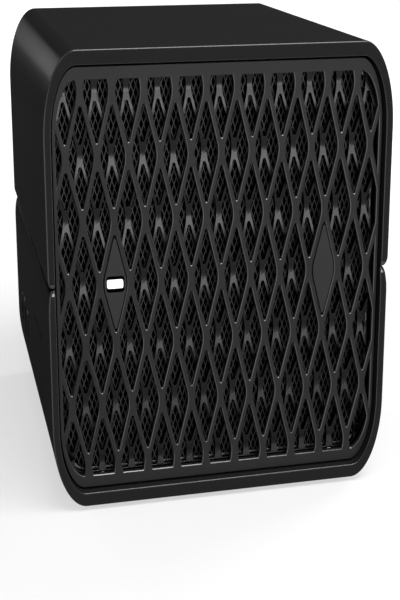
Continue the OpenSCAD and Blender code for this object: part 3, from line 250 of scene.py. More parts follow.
def finish(name, colour, rough, metal=0.0, grain=1400, depth=0.00004, spread=0.12, stretch=(1, 1, 1),
           spec=0.5, sheen=1.0):
    """A finish with fine grain: its colour, gloss and surface all vary a little with the grain."""
    low, high, sway, broad_scale, broad_share = 0.3, 0.7, 0.06, 35, 0.35
    made = bpy.data.materials.new(name)
    made.use_nodes = True
    tree, wires = made.node_tree.nodes, made.node_tree.links
    shader = tree["Principled BSDF"]
    shader.inputs["Metallic"].default_value = metal
    shader.inputs["Specular IOR Level"].default_value = spec
    shader.inputs["Specular Tint"].default_value = (sheen, sheen, sheen, 1)
    place = tree.new("ShaderNodeTexCoord")
    turn = tree.new("ShaderNodeMapping")
    turn.inputs["Scale"].default_value = stretch
    wires.new(place.outputs["Object"], turn.inputs["Vector"])
    fine, broad = tree.new("ShaderNodeTexNoise"), tree.new("ShaderNodeTexNoise")
    for noise, scale, detail in ((fine, grain, 4), (broad, broad_scale, 3)):
        noise.inputs["Scale"].default_value = scale
        noise.inputs["Detail"].default_value = detail
        wires.new(turn.outputs[0], noise.inputs["Vector"])
    both = tree.new("ShaderNodeMix")
    both.inputs["Factor"].default_value = broad_share
    wires.new(fine.outputs["Fac"], both.inputs["A"])
    wires.new(broad.outputs["Fac"], both.inputs["B"])
    tint = tree.new("ShaderNodeValToRGB")
    for stop, value, change in zip(tint.color_ramp.elements, (low, high), (1 - spread, 1 + spread)):
        stop.position = value
        stop.color = (*[min(1, c * change) for c in colour], 1)
    wires.new(both.outputs["Result"], tint.inputs[0])
    wires.new(tint.outputs[0], shader.inputs["Base Color"])
    gloss = ramp(made.node_tree, both.outputs["Result"], low, high,
                 max(0.04, rough - sway), min(1, rough + sway))
    wires.new(gloss.outputs[0], shader.inputs["Roughness"])
    relief = tree.new("ShaderNodeBump")
    relief.inputs["Strength"].default_value = 0.5
    relief.inputs["Distance"].default_value = depth
    wires.new(fine.outputs["Fac"], relief.inputs["Height"])
    wires.new(relief.outputs[0], shader.inputs["Normal"])
    return made


def coat(piece, *paints):
    """Gives a piece these finishes in place of any that it has."""
    piece.data.materials.clear()
    for paint in paints:
        piece.data.materials.append(paint)


def dress(paint, *names):
    """Gives CAD pieces a finish in place of their flat colour."""
    for name in names:
        coat(nodes[name], paint)


def highlight_edges(piece, paint, reach=0.0):
    """Painted highlight: the rounded edge faces get a lighter, glossier finish that shows as bright lines."""
    piece.data.materials.append(paint)
    slot = len(piece.data.materials) - 1
    for face in piece.data.polygons:
        front_edge = FRONT_TURN[0] < abs(face.normal.y) < FRONT_TURN[1]
        shoulder = SHOULDER_TURN[0] < abs(face.normal.z) < SHOULDER_TURN[1]
        if front_edge or shoulder and abs(face.center.z - SPLIT_Z) < reach:
            face.material_index = slot


def shell_rings(side):
    """The sleeve's half outline: outer point, band point, wall point and groove depth at each step."""
    seam_z = SPLIT_Z + side * SEAM / 2
    shoulder = SHOULDER_UP if side > 0 else SHOULDER_DOWN
    end_z = FOOT + CASE_H if side > 0 else FOOT
    cx, cz = CASE_W / 2 - CORNER_X, end_z - side * CORNER_Z
    inner = CASE_W / 2 - WALL
    half = []
    for a in quarter(SHOULDER_STEPS, -90):
        x, z = CASE_W / 2 - GROOVE + GROOVE * cos(a), seam_z + side * shoulder * (1 + sin(a))
        half.append(((x, z), (inner, z), (inner, z), GROOVE * (1 - cos(a))))
    start_z = half[-1][0][1]
    for i in range(1, WALL_STEPS):
        z = start_z + (cz - start_z) * i / WALL_STEPS
        half.append(((CASE_W / 2, z), (inner, z), (inner, z), 0))
    for a in quarter(CORNER_STEPS):
        half.append(((cx + CORNER_X * cos(a), cz + side * CORNER_Z * sin(a)),
                     (cx + (CORNER_X - WALL) * cos(a), cz + side * (CORNER_Z - LIP_H) * sin(a)),
                     (cx + (CORNER_X - WALL) * cos(a), cz + side * (CORNER_Z - WALL) * sin(a)), 0))
    left = [tuple((-p[0], p[1]) for p in row[:3]) + (row[3],) for row in reversed(half)]
    return half + left


def shell_section(row):
    """Closed section of the sleeve along its depth at one step of the outline."""
    outer, band, wall, groove = row
    front, back = -CASE_D / 2 + groove, CASE_D / 2 - groove
    width = hypot(band[0] - outer[0], band[1] - outer[1])
    way = ((band[0] - outer[0]) / width, (band[1] - outer[1]) / width)

    def at(depth, y):
        return Vector((outer[0] + way[0] * depth, y, outer[1] + way[1] * depth))

    points = []
    turn = quarter(EDGE_STEPS)
    for y, s in ((front, 1), (back, -1)):
        outside = [at(EDGE_ROUND * (1 - cos(a)), y + s * EDGE_ROUND * (1 - sin(a))) for a in turn]
        inside = [at(width - LIP_ROUND * (1 - cos(a)), y + s * LIP_ROUND * (1 - sin(a)))
                  for a in reversed(turn)]
        lip = [Vector((x, s * (-CASE_D / 2 + LIP_D), z)) for x, z in (band, wall)]
        points.append(outside + inside + lip)
    return points[0] + list(reversed(points[1]))


def skin(bm, rings, closed=False):
    """Adds faces between rings of points, each to the next, and back to the first where the rings close."""
    for a, b in zip(rings, rings[1:] + rings[:1] if closed else rings[1:]):
        for i in range(len(a)):
            j = (i + 1) % len(a)
            bm.faces.new((a[i], a[j], b[j], b[i]))
    if not closed:
        bm.faces.new(rings[0])
        bm.faces.new(list(reversed(rings[-1])))


def shell(name, side):
    def build(bm):
        skin(bm, [[bm.verts.new(p) for p in shell_section(row)] for row in shell_rings(side)])
        bmesh.ops.remove_doubles(bm, verts=bm.verts, dist=1e-6)
        bmesh.ops.dissolve_degenerate(bm, edges=bm.edges, dist=1e-6)

    return mesh_of(name, build)


def side_mouths(bm):
    """Cutters for the left side: socket mouths, pockets for the marks, a slit and a tapered panel."""
    face = -CASE_W / 2
    x = (face - CUT_OUTSIDE, face + WALL + CUT_INSIDE)
    rod(bm, (x[0], SIDE_Y[0], SIDE_Z), (1, 0, 0), JACK_R, x[1] - x[0], 48)
    for y, (w, h) in ((SIDE_Y[1], BIG_MOUTH), (SIDE_Y[2], SMALL_MOUTH)):
        rounded_box(bm, x, about(y, w), about(SIDE_Z, h), MOUTH_ROUND)
    for y, z, w, h in SIDE_MARKS:
        rounded_box(bm, (x[0], face + MARK_POCKET), about(y, w), about(z, h), 0)
    rounded_box(bm, (x[0], face + SLIT_D), SLIT_Y, SLIT_Z, 0)
    wedge = ((face - PANEL_OUTSIDE, PANEL_Y[0]), (face + PANEL_D, PANEL_Y[0]),
             (face - PANEL_FADE, PANEL_Y[1]), (face - PANEL_OUTSIDE, PANEL_Y[1]))
    skin(bm, [[bm.verts.new((px, y, z)) for px, y in wedge] for z in PANEL_Z])


def shell_rails(bm):
    """Rails that the cover slides on, and posts for the side socket board."""
    inside = CASE_W / 2 - WALL
    for s in (-1, 1):
        outer = s * (inside - RAIL_GAP)
        inner = outer - s * RAIL_T
        rounded_box(bm, sorted((inner, outer)), RAIL_Y, about(SPLIT_Z, RAIL_H), RAIL_ROUND)
        rounded_box(bm, sorted((inner, s * (inside + SINK))), RAIL_Y,
                    (SPLIT_Z - RAIL_H / 2, SPLIT_Z - SINK), 0)
    for y in POST_Y:
        rod(bm, (-inside - SINK, y, SIDE_Z), (1, 0, 0), POST_R, POST_L)


def joined(first, *others):
    """Puts the meshes of several pieces into the first."""
    bm = bmesh.new()
    for piece in (first, *others):
        bm.from_mesh(piece.data)
    bm.to_mesh(first.data)
    bm.free()
    for piece in others:
        bpy.data.objects.remove(piece)
    return first


case_paint = finish("satin_case_paint", (0.0185, 0.0185, 0.0190), rough=0.20, metal=0.018, grain=1700,
                    depth=0.00001, spread=0.10, spec=0.0, sheen=0.5)
# Painted highlight: the edge finish is lighter and glossier than the case paint, so the edges show bright
# lines.
case_edge_highlight = finish("case_edge_highlight_paint", (0.060, 0.060, 0.061), rough=0.26, metal=1.0, grain=1700, depth=0.00001,
                   spread=0.10, sheen=0.0)

lower = shell("lower_case", -1)
cut(lower, mesh_of("mouth_tool", side_mouths))
lower = joined(lower, mesh_of("rail_pair", shell_rails))
soften(lower)
coat(lower, case_paint)
highlight_edges(lower, case_edge_highlight, SHOULDER_DOWN + SHOULDER_MARGIN)
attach(lower, "chassis")
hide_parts("lower_shell")


def rear_tabs(bm):
    for s in (-1, 1):
        rounded_box(bm, about(s * TAB_X, TAB_W), TAB_Y, TAB_Z, TAB_ROUND)


def tab_holes(bm):
    for s in (-1, 1):
        rod(bm, (s * TAB_X, TAB_HOLE_Y, TAB_HOLE_Z), (0, 1, 0), TAB_HOLE_R, TAB_HOLE_L)


upper = shell("upper_case", 1)
tabs = mesh_of("tab_pair", rear_tabs)
cut(tabs, mesh_of("tab_tool", tab_holes))
upper = joined(upper, tabs)
soften(upper)
coat(upper, case_paint)
highlight_edges(upper, case_edge_highlight, SHOULDER_UP + SHOULDER_MARGIN)
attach(upper, "cover")
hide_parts("upper_shell")

# Intake lattice: a moulded plate of tall diamonds in a narrow frame, set back a little behind the
# band. A second, folded lattice stands half a pitch over behind it, so its crossings fill the gaps.
MID_Z = FOOT + CASE_H / 2
GRILLE_Y, GRILLE_T = -0.0791, 0.0022
LATTICE_Y, FOLD_D, FOLD_T = -0.0766, 0.0028, 0.0014
PITCH_X, PITCH_Z, BAR = 0.013, 0.0543, 0.0018
COLUMNS, ROWS, BUTTON_COLUMN = 12, 5, 3.5
TIP_ROUND, SIDE_ROUND, EASED_EDGE = 0.0006, 0.018, 0.00028
FRAME_W, FRAME_H, FRAME_RX, FRAME_RZ = 0.0701, 0.0914, 0.0101, 0.0294
WINDOW_W, WINDOW_H, WINDOW_RX, WINDOW_RZ = 0.0688, 0.0862, 0.0088, 0.0242
CUT_BELOW, CUT_ABOVE, CUT_DEEP = 0.002, 0.0003, 0.01
STRIP_W, RIM_BELOW, RIM_D = 0.2, 0.001, 0.008
PIN_X, PIN_Z, PIN_R, PIN_L = 0.052, 0.0888, 0.0019, 0.0055


class Tree:
    """A Geometry Nodes tree with named inputs, wired up in a few words."""

    def __init__(self, name):
        self.group = bpy.data.node_groups.new(name, "GeometryNodeTree")
        self.group.interface.new_socket(name="Geometry", in_out="OUTPUT", socket_type="NodeSocketGeometry")
        self.source = self.group.nodes.new("NodeGroupInput")
        self.sink = self.group.nodes.new("NodeGroupOutput")
        self.keys = {}

    def size(self, name, value):
        socket = self.group.interface.new_socket(name=name, in_out="INPUT", socket_type="NodeSocketFloat")
        socket.default_value = value
        self.keys[name] = socket.identifier
        return self.source.outputs[name]

    def node(self, kind, inputs=None, **settings):
        made = self.group.nodes.new(kind)
        for key, value in settings.items():
            setattr(made, key, value)
        for key, value in (inputs or {}).items():
            socket = made.inputs[key]
            if isinstance(value, bpy.types.NodeSocket):
                self.group.links.new(value, socket)
            else:
                socket.default_value = value
        return made

    def geo(self, kind, inputs=None, **settings):
        """The first output of a new Geometry Nodes node."""
        return self.node("GeometryNode" + kind, inputs, **settings).outputs[0]

    def math(self, operation, a, b=0.0):
        return self.node("ShaderNodeMath", {0: a, 1: b}, operation=operation).outputs[0]

    def vector(self, x, y, z):
        return self.node("ShaderNodeCombineXYZ", {0: x, 1: y, 2: z}).outputs[0]

    def join(self, *parts):
        made = self.group.nodes.new("GeometryNodeJoinGeometry")
        for part in reversed(parts):
            self.group.links.new(part, made.inputs[0])
        return made.outputs[0]

    def thick(self, face, low, depth):
        """Closes a flat face into a prism that starts at a height and goes up."""
        lowered = self.geo("SetPosition", {"Geometry": face, "Offset": self.vector(0.0, 0.0, low)})
        back = self.geo("FlipFaces", {"Mesh": lowered})
        front = self.geo("ExtrudeMesh", {
            "Mesh": lowered, "Offset": self.vector(0.0, 0.0, 1.0), "Offset Scale": depth,
            "Individual": False})
        return self.geo("MergeByDistance", {"Geometry": self.join(back, front), "Distance": 1e-7})

    def flared(self, face, wide, low, straight, flare):
        """A prism that goes straight up and opens out to a wider face, to cut a hole with an eased edge."""
        lowered = self.geo("SetPosition", {"Geometry": face, "Offset": self.vector(0.0, 0.0, low)})
        back = self.geo("FlipFaces", {"Mesh": lowered})
        up = self.node("GeometryNodeExtrudeMesh", {
            "Mesh": lowered, "Offset": self.vector(0.0, 0.0, 1.0), "Offset Scale": straight,
            "Individual": False})
        out = self.node("GeometryNodeExtrudeMesh", {
            "Mesh": up.outputs[0], "Selection": up.outputs["Top"], "Offset": self.vector(0.0, 0.0, 1.0),
            "Offset Scale": flare, "Individual": False})
        here = self.geo("InputPosition")
        part = self.node("ShaderNodeSeparateXYZ", {0: here})
        nearest = self.geo("SampleNearest", {
            "Geometry": wide, "Sample Position": self.vector(part.outputs[0], part.outputs[1], 0.0)},
            domain="POINT")
        goal = self.geo("SampleIndex", {"Geometry": wide, "Value": here, "Index": nearest},
                        data_type="FLOAT_VECTOR", domain="POINT")
        top = self.math("ADD", self.math("ADD", straight, flare), low)
        opened = self.geo("SetPosition", {
            "Geometry": out.outputs[0], "Selection": out.outputs["Top"], "Position": goal,
            "Offset": self.vector(0.0, 0.0, top)})
        return self.geo("MergeByDistance", {"Geometry": self.join(back, opened), "Distance": 1e-7})

    def oval(self, w, h, rx, rz):
        """Flat rectangle with elliptical corners."""
        ring = self.geo("MeshCircle", {"Vertices": 96, "Radius": 1.0}, fill_type="NGON")
        part = self.node("ShaderNodeSeparateXYZ", {0: self.geo("InputPosition")})
        goal = []
        for i, (half, r) in enumerate(((w, rx), (h, rz))):
            way = self.math("SIGN", part.outputs[i])
            straight = self.math("MULTIPLY", way, self.math("SUBTRACT", half, r))
            goal.append(self.math("ADD", straight, self.math("MULTIPLY", part.outputs[i], r)))
        return self.geo("SetPosition", {"Geometry": ring, "Position": self.vector(*goal, 0.0)})

    def end(self, geometry, paint):
        solid = self.geo("RealizeInstances", {"Geometry": geometry})
        done = self.geo("SetMaterial", {"Geometry": solid, "Material": paint})
        self.group.links.new(done, self.sink.inputs[0])

    def grow(self, name, **sizes):
        """Runs the tree on a new piece with these sizes."""
        piece = link(name, bpy.data.meshes.new(name))
        maker = piece.modifiers.new(name, "NODES")
        maker.node_group = self.group
        for key, value in sizes.items():
            maker[self.keys[key]] = value
        return piece


def staggered(tree, px, pz, nx, nz, shift):
    """Points on a staggered grid: every other crossing of a grid at half the pitch."""
    grid = tree.geo("MeshGrid", {
        "Size X": tree.math("MULTIPLY", px, float(nx)), "Size Y": tree.math("MULTIPLY", pz, float(nz)),
        "Vertices X": 2 * nx + 1, "Vertices Y": 2 * nz + 1})
    part = tree.node("ShaderNodeSeparateXYZ", {0: tree.geo("InputPosition")})
    steps = [tree.math("ROUND", tree.math("DIVIDE", part.outputs[i], tree.math("MULTIPLY", p, 0.5)))
             for i, p in ((0, px), (1, pz))]
    total = tree.math("ADD", tree.math("ADD", steps[0], steps[1]), shift)
    odd = tree.math("GREATER_THAN", tree.math("FLOORED_MODULO", total, 2.0), 0.5)
    return tree.geo("DeleteGeometry", {"Geometry": grid, "Selection": odd}, domain="POINT")


def lattice_tree(paint, roomy=False):
    """The lattice plate, flat or folded. A roomy one has no bars where the two diamond plates go."""
    tree = Tree("lattice_plate")
    px, pz = tree.size("pitch_x", PITCH_X), tree.size("pitch_z", PITCH_Z)
    inset, shift = tree.size("inset", BAR / 2), tree.size("shift", 1.0)
    tip, flank = tree.size("tip_round", TIP_ROUND), tree.size("side_round", SIDE_ROUND)
    thick, fold = tree.size("thickness", GRILLE_T), tree.size("fold", 0.0)
    y, ease = tree.size("back_y", 0.0), tree.size("eased_edge", EASED_EDGE)
    a, b = tree.math("MULTIPLY", px, 0.5), tree.math("MULTIPLY", pz, 0.5)
    diagonal = tree.math("SQRT", tree.math("ADD", tree.math("MULTIPLY", a, a), tree.math("MULTIPLY", b, b)))
    reach = tree.math("DIVIDE", tree.math("MULTIPLY", a, b), diagonal)
    straight = tree.math("ADD", tree.math("SUBTRACT", thick, ease), CUT_BELOW)
    flare = tree.math("ADD", ease, CUT_ABOVE)

    def rhombus(inset, tip, flank):
        k = tree.math("DIVIDE", tree.math("SUBTRACT", reach, inset), reach)
        ak, bk = tree.math("MULTIPLY", a, k), tree.math("MULTIPLY", b, k)
        outline = tree.geo("CurvePrimitiveQuadrilateral", {
            "Point 1": tree.vector(0.0, bk, 0.0),
            "Point 2": tree.vector(tree.math("MULTIPLY", ak, -1.0), 0.0, 0.0),
            "Point 3": tree.vector(0.0, tree.math("MULTIPLY", bk, -1.0), 0.0),
            "Point 4": tree.vector(ak, 0.0, 0.0)}, mode="POINTS")
        flat_corner = tree.math("FLOORED_MODULO", tree.geo("InputIndex"), 2.0)
        radius = tree.math("ADD", tip, tree.math("MULTIPLY", flat_corner, tree.math("SUBTRACT", flank, tip)))
        rounded = tree.geo("FilletCurve", {
            "Curve": outline, "Radius": radius, "Count": 6, "Limit Radius": True}, mode="POLY")
        return tree.geo("FillCurve", {"Curve": rounded}, mode="NGONS")

    face = rhombus(inset, tip, flank)
    wide = rhombus(tree.math("SUBTRACT", inset, flare), tree.math("ADD", tip, flare),
                   tree.math("ADD", flank, flare))
    prism = tree.flared(face, wide, -CUT_BELOW, straight, flare)
    points = staggered(tree, px, pz, COLUMNS, ROWS, shift)
    openings = tree.geo("InstanceOnPoints", {"Points": points, "Instance": prism})
    openings = tree.geo("RealizeInstances", {"Geometry": openings})
    grown = [tree.math("ADD", flare, size) for size in (WINDOW_W, WINDOW_H, WINDOW_RX, WINDOW_RZ)]
    window = tree.flared(tree.oval(WINDOW_W, WINDOW_H, WINDOW_RX, WINDOW_RZ), tree.oval(*grown),
                         -CUT_BELOW, straight, flare)
    openings = tree.node("GeometryNodeMeshBoolean", {"Mesh 2": openings}, operation="INTERSECT",
                         solver="EXACT")
    tree.group.links.new(window, openings.inputs["Mesh 2"])
    rows = tree.geo("MeshGrid", {
        "Size X": STRIP_W, "Size Y": tree.math("MULTIPLY", pz, float(ROWS)), "Vertices X": 2,
        "Vertices Y": 4 * ROWS + 1})
    strips = tree.thick(rows, 0.0, thick)
    rim = tree.thick(tree.oval(FRAME_W, FRAME_H, FRAME_RX, FRAME_RZ), -RIM_BELOW, RIM_D)
    plate = tree.node("GeometryNodeMeshBoolean", {"Mesh 2": strips}, operation="INTERSECT", solver="EXACT")
    tree.group.links.new(rim, plate.inputs["Mesh 2"])
    holed = tree.node("GeometryNodeMeshBoolean", {
        "Mesh 1": plate.outputs[0], "Mesh 2": openings.outputs[0]}, operation="DIFFERENCE", solver="EXACT")
    if roomy:
        spread = tree.math("DIVIDE", tree.math("ADD", reach, CUT_ABOVE), tree.math("SUBTRACT", reach, inset))
        room = tree.thick(tree.geo("Transform", {
            "Geometry": face, "Scale": tree.vector(spread, spread, 1.0)}), -CUT_BELOW, CUT_DEEP)
        pair = tree.geo("MeshLine", {
            "Count": 2, "Start Location": tree.vector(tree.math("MULTIPLY", px, -BUTTON_COLUMN), 0.0, 0.0),
            "Offset": tree.vector(tree.math("MULTIPLY", px, 2 * BUTTON_COLUMN), 0.0, 0.0)})
        rooms = tree.geo("InstanceOnPoints", {"Points": pair, "Instance": room})
        rooms = tree.geo("RealizeInstances", {"Geometry": rooms})
        tree.group.links.new(rooms, holed.inputs["Mesh 2"])
    part = tree.node("ShaderNodeSeparateXYZ", {0: tree.geo("InputPosition")})
    wave = tree.math("PINGPONG", tree.math("ABSOLUTE", tree.math("DIVIDE", part.outputs[1], b)), 0.5)
    lift = tree.math("MULTIPLY", tree.math("MULTIPLY", wave, 2.0), fold)
    folded = tree.geo("SetPosition", {"Geometry": holed.outputs[0], "Offset": tree.vector(0.0, 0.0, lift)})
    stood = tree.geo("Transform", {
        "Geometry": folded, "Rotation": (pi / 2, 0, 0), "Translation": tree.vector(0.0, y, MID_Z)})
    tree.end(stood, paint)
    return tree


def grille_pins(bm):
    for sx in (-1, 1):
        for sz in (-1, 1):
            rod(bm, (sx * PIN_X, GRILLE_Y + GRILLE_T - SINK, MID_Z + sz * PIN_Z), (0, 1, 0), PIN_R, PIN_L)


grille_paint = finish("grille_satin", (0.027, 0.027, 0.028), rough=0.36, metal=0.4, grain=1500, depth=0.00002,
                      spread=0.10, spec=0.05, sheen=0.2)
# Painted highlight: the eased hole edges get a lighter, glossier finish than the lattice face.
grille_edge_highlight = finish("grille_edge_highlight_satin", (0.11, 0.11, 0.112), rough=0.18, metal=0.7, grain=1500,
                     depth=0.00001, spread=0.10, spec=0.3, sheen=0.3)
grille = settle(lattice_tree(grille_paint).grow(
    "intake_lattice", shift=1.0, thickness=GRILLE_T, back_y=GRILLE_Y + GRILLE_T))
grille = joined(grille, mesh_of("pin_set", grille_pins))
soften(grille)
highlight_edges(grille, grille_edge_highlight)
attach(grille, "chassis")
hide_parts("front_grille")

inner_paint = finish("inner_lattice_satin", (0.018, 0.018, 0.0185), rough=0.27, metal=1.0, grain=1500,
                     depth=0.000008, spread=0.10, sheen=0.1)
# Painted highlight: the folded lattice's eased edges get a lighter, glossier finish than its faces.
inner_edge_highlight = finish("inner_edge_highlight_satin", (0.035, 0.035, 0.036), rough=0.30, metal=0.6, grain=1500,
                    depth=0.00001, spread=0.10, spec=0.2, sheen=0.2)
folded = settle(lattice_tree(inner_paint, roomy=True).grow(
    "folded_lattice", shift=0.0, inset=0.00062, eased_edge=0.00012, thickness=FOLD_T, fold=FOLD_D,
    back_y=LATTICE_Y + FOLD_D + FOLD_T))
soften(folded, 25)
highlight_edges(folded, inner_edge_highlight)
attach(folded, "chassis")
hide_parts("inner_lattice")

# Dust mesh: a sheet of expanded metal with fine diamonds, painted dark grey, clamped between the folded
# lattice and the chassis. A black sheet on its back is painted shade for the dark inside of the casing.
# Both are cut away round the button's guide.
MESH_Y, MESH_T = -0.0724, 0.0008
MESH_X, MESH_Z, STRAND, STRAND_T = 0.0021, 0.0066, 0.00031, 0.0005
MESH_COLUMNS, MESH_ROWS = 68, 27
SHEET_CORNER, SHEET_ROUND = (0.0591, 0.061), (0.0092, 0.0262)
BUTTON_X, GUIDE_W, GUIDE_H = -BUTTON_COLUMN * PITCH_X, 0.0104, 0.0166
OVERLAP, LAYER = 0.012, 0.00004
SHADE_SHEET_Y, SHADE_SHEET_W, SHADE_SHEET_EDGE = (0.00062, 0.00078), 0.0683, 0.0005
SHADE_SHEET_HOLE_W, SHADE_SHEET_HOLE_H = 0.0096, 0.0136


def dust_tree(paint):
    """Crossed strands on a staggered grid. Every other row is a little larger, so strand ends overlap."""
    tree = Tree("dust_sheet")
    px, pz = tree.size("pitch_x", MESH_X), tree.size("pitch_z", MESH_Z)
    strand, thick = tree.size("strand", STRAND), tree.size("thickness", STRAND_T)
    points = staggered(tree, px, pz, MESH_COLUMNS, MESH_ROWS, 0.0)
    part = tree.node("ShaderNodeSeparateXYZ", {0: tree.geo("InputPosition")})
    past = []
    for i in (0, 1):
        beyond = tree.math("SUBTRACT", tree.math("ABSOLUTE", part.outputs[i]), SHEET_CORNER[i])
        share = tree.math("MAXIMUM", tree.math("DIVIDE", beyond, SHEET_ROUND[i]), 0.0)
        past.append(tree.math("MULTIPLY", share, share))
    outside = tree.math("GREATER_THAN", tree.math("ADD", *past), 1.0)
    from_button = tree.math("ABSOLUTE", tree.math("SUBTRACT", part.outputs[0], BUTTON_X))
    near_x = tree.math("LESS_THAN", from_button, GUIDE_W / 2)
    near_z = tree.math("LESS_THAN", tree.math("ABSOLUTE", part.outputs[1]), GUIDE_H / 2)
    gone = tree.math("MAXIMUM", outside, tree.math("MULTIPLY", near_x, near_z))
    points = tree.geo("DeleteGeometry", {"Geometry": points, "Selection": gone}, domain="POINT")
    span = tree.math("SQRT", tree.math("ADD", tree.math("MULTIPLY", px, px), tree.math("MULTIPLY", pz, pz)))
    length = tree.math("MULTIPLY", span, 0.5)
    slope = tree.math("ARCTAN2", px, pz)
    bars = [tree.geo("Transform", {
        "Geometry": tree.geo("MeshCube", {"Size": tree.vector(strand, length, thick)}),
        "Translation": (0, 0, LAYER * s),
        "Rotation": tree.vector(0.0, 0.0, tree.math("MULTIPLY", slope, s))}) for s in (1.0, -1.0)]
    row = tree.math("ROUND", tree.math("DIVIDE", part.outputs[1], tree.math("MULTIPLY", pz, 0.5)))
    swell = tree.math("ADD", tree.math("MULTIPLY", tree.math("FLOORED_MODULO", row, 2.0), OVERLAP), 1.0)
    sheet = tree.geo("InstanceOnPoints", {
        "Points": points, "Instance": tree.join(*bars), "Scale": tree.vector(swell, swell, swell)})
    stood = tree.geo("Transform", {
        "Geometry": sheet, "Rotation": (pi / 2, 0, 0), "Translation": (0, MESH_Y + MESH_T / 2, MID_Z)})
    tree.end(stood, paint)
    return tree


def rounded_outline(x, z, w, h, rx, rz, steps):
    """Points round a rectangle with elliptical corners: its middle, half sizes and corner radii."""
    return [(x + sx * (w - rx) + rx * cos(a), z + sz * (h - rz) + rz * sin(a))
            for sx, sz, start in ((1, 1, 0), (-1, 1, 90), (-1, -1, 180), (1, -1, 270))
            for a in quarter(steps, start)]


def dust_rim(bm):
    """Plain margin of the sheet."""
    outer = rounded_outline(0, MID_Z, FRAME_W, FRAME_H, FRAME_RX, FRAME_RZ, 16)
    inner = rounded_outline(0, MID_Z, WINDOW_W, WINDOW_H, WINDOW_RX, WINDOW_RZ, 16)
    front, back = MESH_Y, MESH_Y + MESH_T
    skin(bm, [[bm.verts.new((x, y, z)) for x, z in ring]
              for ring, y in ((outer, front), (inner, front), (inner, back), (outer, back))], closed=True)


def shade_sheet(bm):
    """Painted shade: a black sheet behind the metal, in four strips round the button's opening."""
    y = [MESH_Y + depth for depth in SHADE_SHEET_Y]
    hole_x, hole_z = about(BUTTON_X, SHADE_SHEET_HOLE_W), about(MID_Z, SHADE_SHEET_HOLE_H)
    for x in ((-SHADE_SHEET_W, hole_x[0]), (hole_x[1], SHADE_SHEET_W)):
        rounded_box(bm, x, y, hole_z, 0)
    for side in (-1, 1):
        ring = [(sx * SHADE_SHEET_W, MID_Z + side * SHADE_SHEET_HOLE_H / 2) for sx in (-1, 1)]
        for sx, start in ((1, 0), (-1, 90)):
            for a in quarter(12, start):
                ring.append((sx * (WINDOW_W - SHADE_SHEET_EDGE - WINDOW_RX) + WINDOW_RX * cos(a),
                             MID_Z + side * (WINDOW_H - SHADE_SHEET_EDGE - WINDOW_RZ + WINDOW_RZ * sin(a))))
        skin(bm, [[bm.verts.new((x, depth, z)) for x, z in ring] for depth in y])


dust_paint = finish("dust_mesh_grey", (0.030, 0.030, 0.031), rough=0.45, metal=0.3, grain=2600, depth=0.00001,
                    spread=0.15, spec=0.3)
# Painted shade: this near-black sheet stands for the dark inside of the casing behind the mesh.
shade_sheet_black = finish("shade_sheet_black", (0.0010, 0.0010, 0.0010), rough=0.9, grain=3000, depth=0.00005,
                     spread=0.3, spec=0.0)
dust = settle(dust_tree(dust_paint).grow("dust_screen"))
dust = joined(dust, mesh_of("dust_rim", dust_rim))
metal_faces = len(dust.data.polygons)
dust = joined(dust, mesh_of("shade_sheet", shade_sheet))
coat(dust, dust_paint, shade_sheet_black)
for face in dust.data.polygons:
    face.material_index = int(face.index >= metal_faces)
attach(dust, "chassis")
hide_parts("dust_mesh")

# Power button: a moulded diamond that fills one opening of the lattice, with a frosted light bar let
# into a slot. The same shape without a slot fills the opening on the other side.
BUTTON_GAP, PLATE_ROUND, BACKING_T = 0.00035, 0.00025, 0.0003
SLOT_W, SLOT_H, SLOT_ROUND, SLOT_D = 0.0076, 0.0071, 0.0012, 0.0016
SLOT_MARGIN, SLOT_SKIN, SLOT_START = 0.00002, 0.0002, 0.001
STEM_W, STEM_H, STEM_END, STEM_ROUND = 0.005, 0.009, -0.0671, 0.0003
LENS_W, LENS_H, LENS_ROUND, LENS_EDGE = 0.0067, 0.0036, 0.0007, 0.0003
LENS_Y, LENS_DROP = (0.0003, 0.0021), 0.0002
plate_paint = finish("plate_satin", (0.034, 0.034, 0.035), rough=0.38, metal=0.4, grain=1500, depth=0.00002,
                     spread=0.10, spec=0.05, sheen=0.2)


def diamond(x, inset, tip=TIP_ROUND, flank=SIDE_ROUND, steps=6):
    """Outline of one diamond of the lattice in X and Z, with rounded corners."""
    a, b = PITCH_X / 2, PITCH_Z / 2
    reach = a * b / hypot(a, b)
    k = (reach - inset) / reach
    corners = [Vector((0, b * k)), Vector((-a * k, 0)), Vector((0, -b * k)), Vector((a * k, 0))]
    points = []
    for i, corner in enumerate(corners):
        before, after = corners[i - 1], corners[(i + 1) % 4]
        u, v = (before - corner).normalized(), (after - corner).normalized()
        half = u.angle(v) / 2
        r = tip if i % 2 == 0 else flank
        middle = corner + (u + v).normalized() * r / sin(half)
        start = (corner + u * r / (sin(half) / cos(half))) - middle
        for n in range(steps + 1):
            t = (pi - 2 * half) * n / steps
            points.append(Vector((start.x * cos(t) - start.y * sin(t) + middle.x + x,
                                  start.x * sin(t) + start.y * cos(t) + middle.y + MID_Z)))
    return points


def slab(bm, outline, y0, y1, r=0.0):
    """Adds a plate with the given outline, its front edge rounded by r."""
    middle = sum(outline, Vector((0, 0))) / len(outline)
    normals = []
    for i, point in enumerate(outline):
        way = outline[(i + 1) % len(outline)] - outline[i - 1]
        side = Vector((way.y, -way.x)).normalized()
        normals.append(side if side.dot(point - middle) > 0 else -side)
    steps = [(r * (1 - cos(a)), r * (1 - sin(a))) for a in quarter(EDGE_STEPS)] if r else [(0, 0)]
    rings = [[Vector((p.x - n.x * inward, y0 + back, p.y - n.y * inward)) for p, n in zip(outline, normals)]
             for inward, back in reversed(steps)]
    rings.append([Vector((p.x, y1, p.y)) for p in outline])
    skin(bm, [[bm.verts.new(p) for p in ring] for ring in rings])


def oval_slot(bm, x, z, w, h, r, y0, y1, edge=0.0):
    """Adds a plate with round corners."""
    slab(bm, [Vector(p) for p in rounded_outline(x, z, w / 2, h / 2, r, r, 6)], y0, y1, edge)


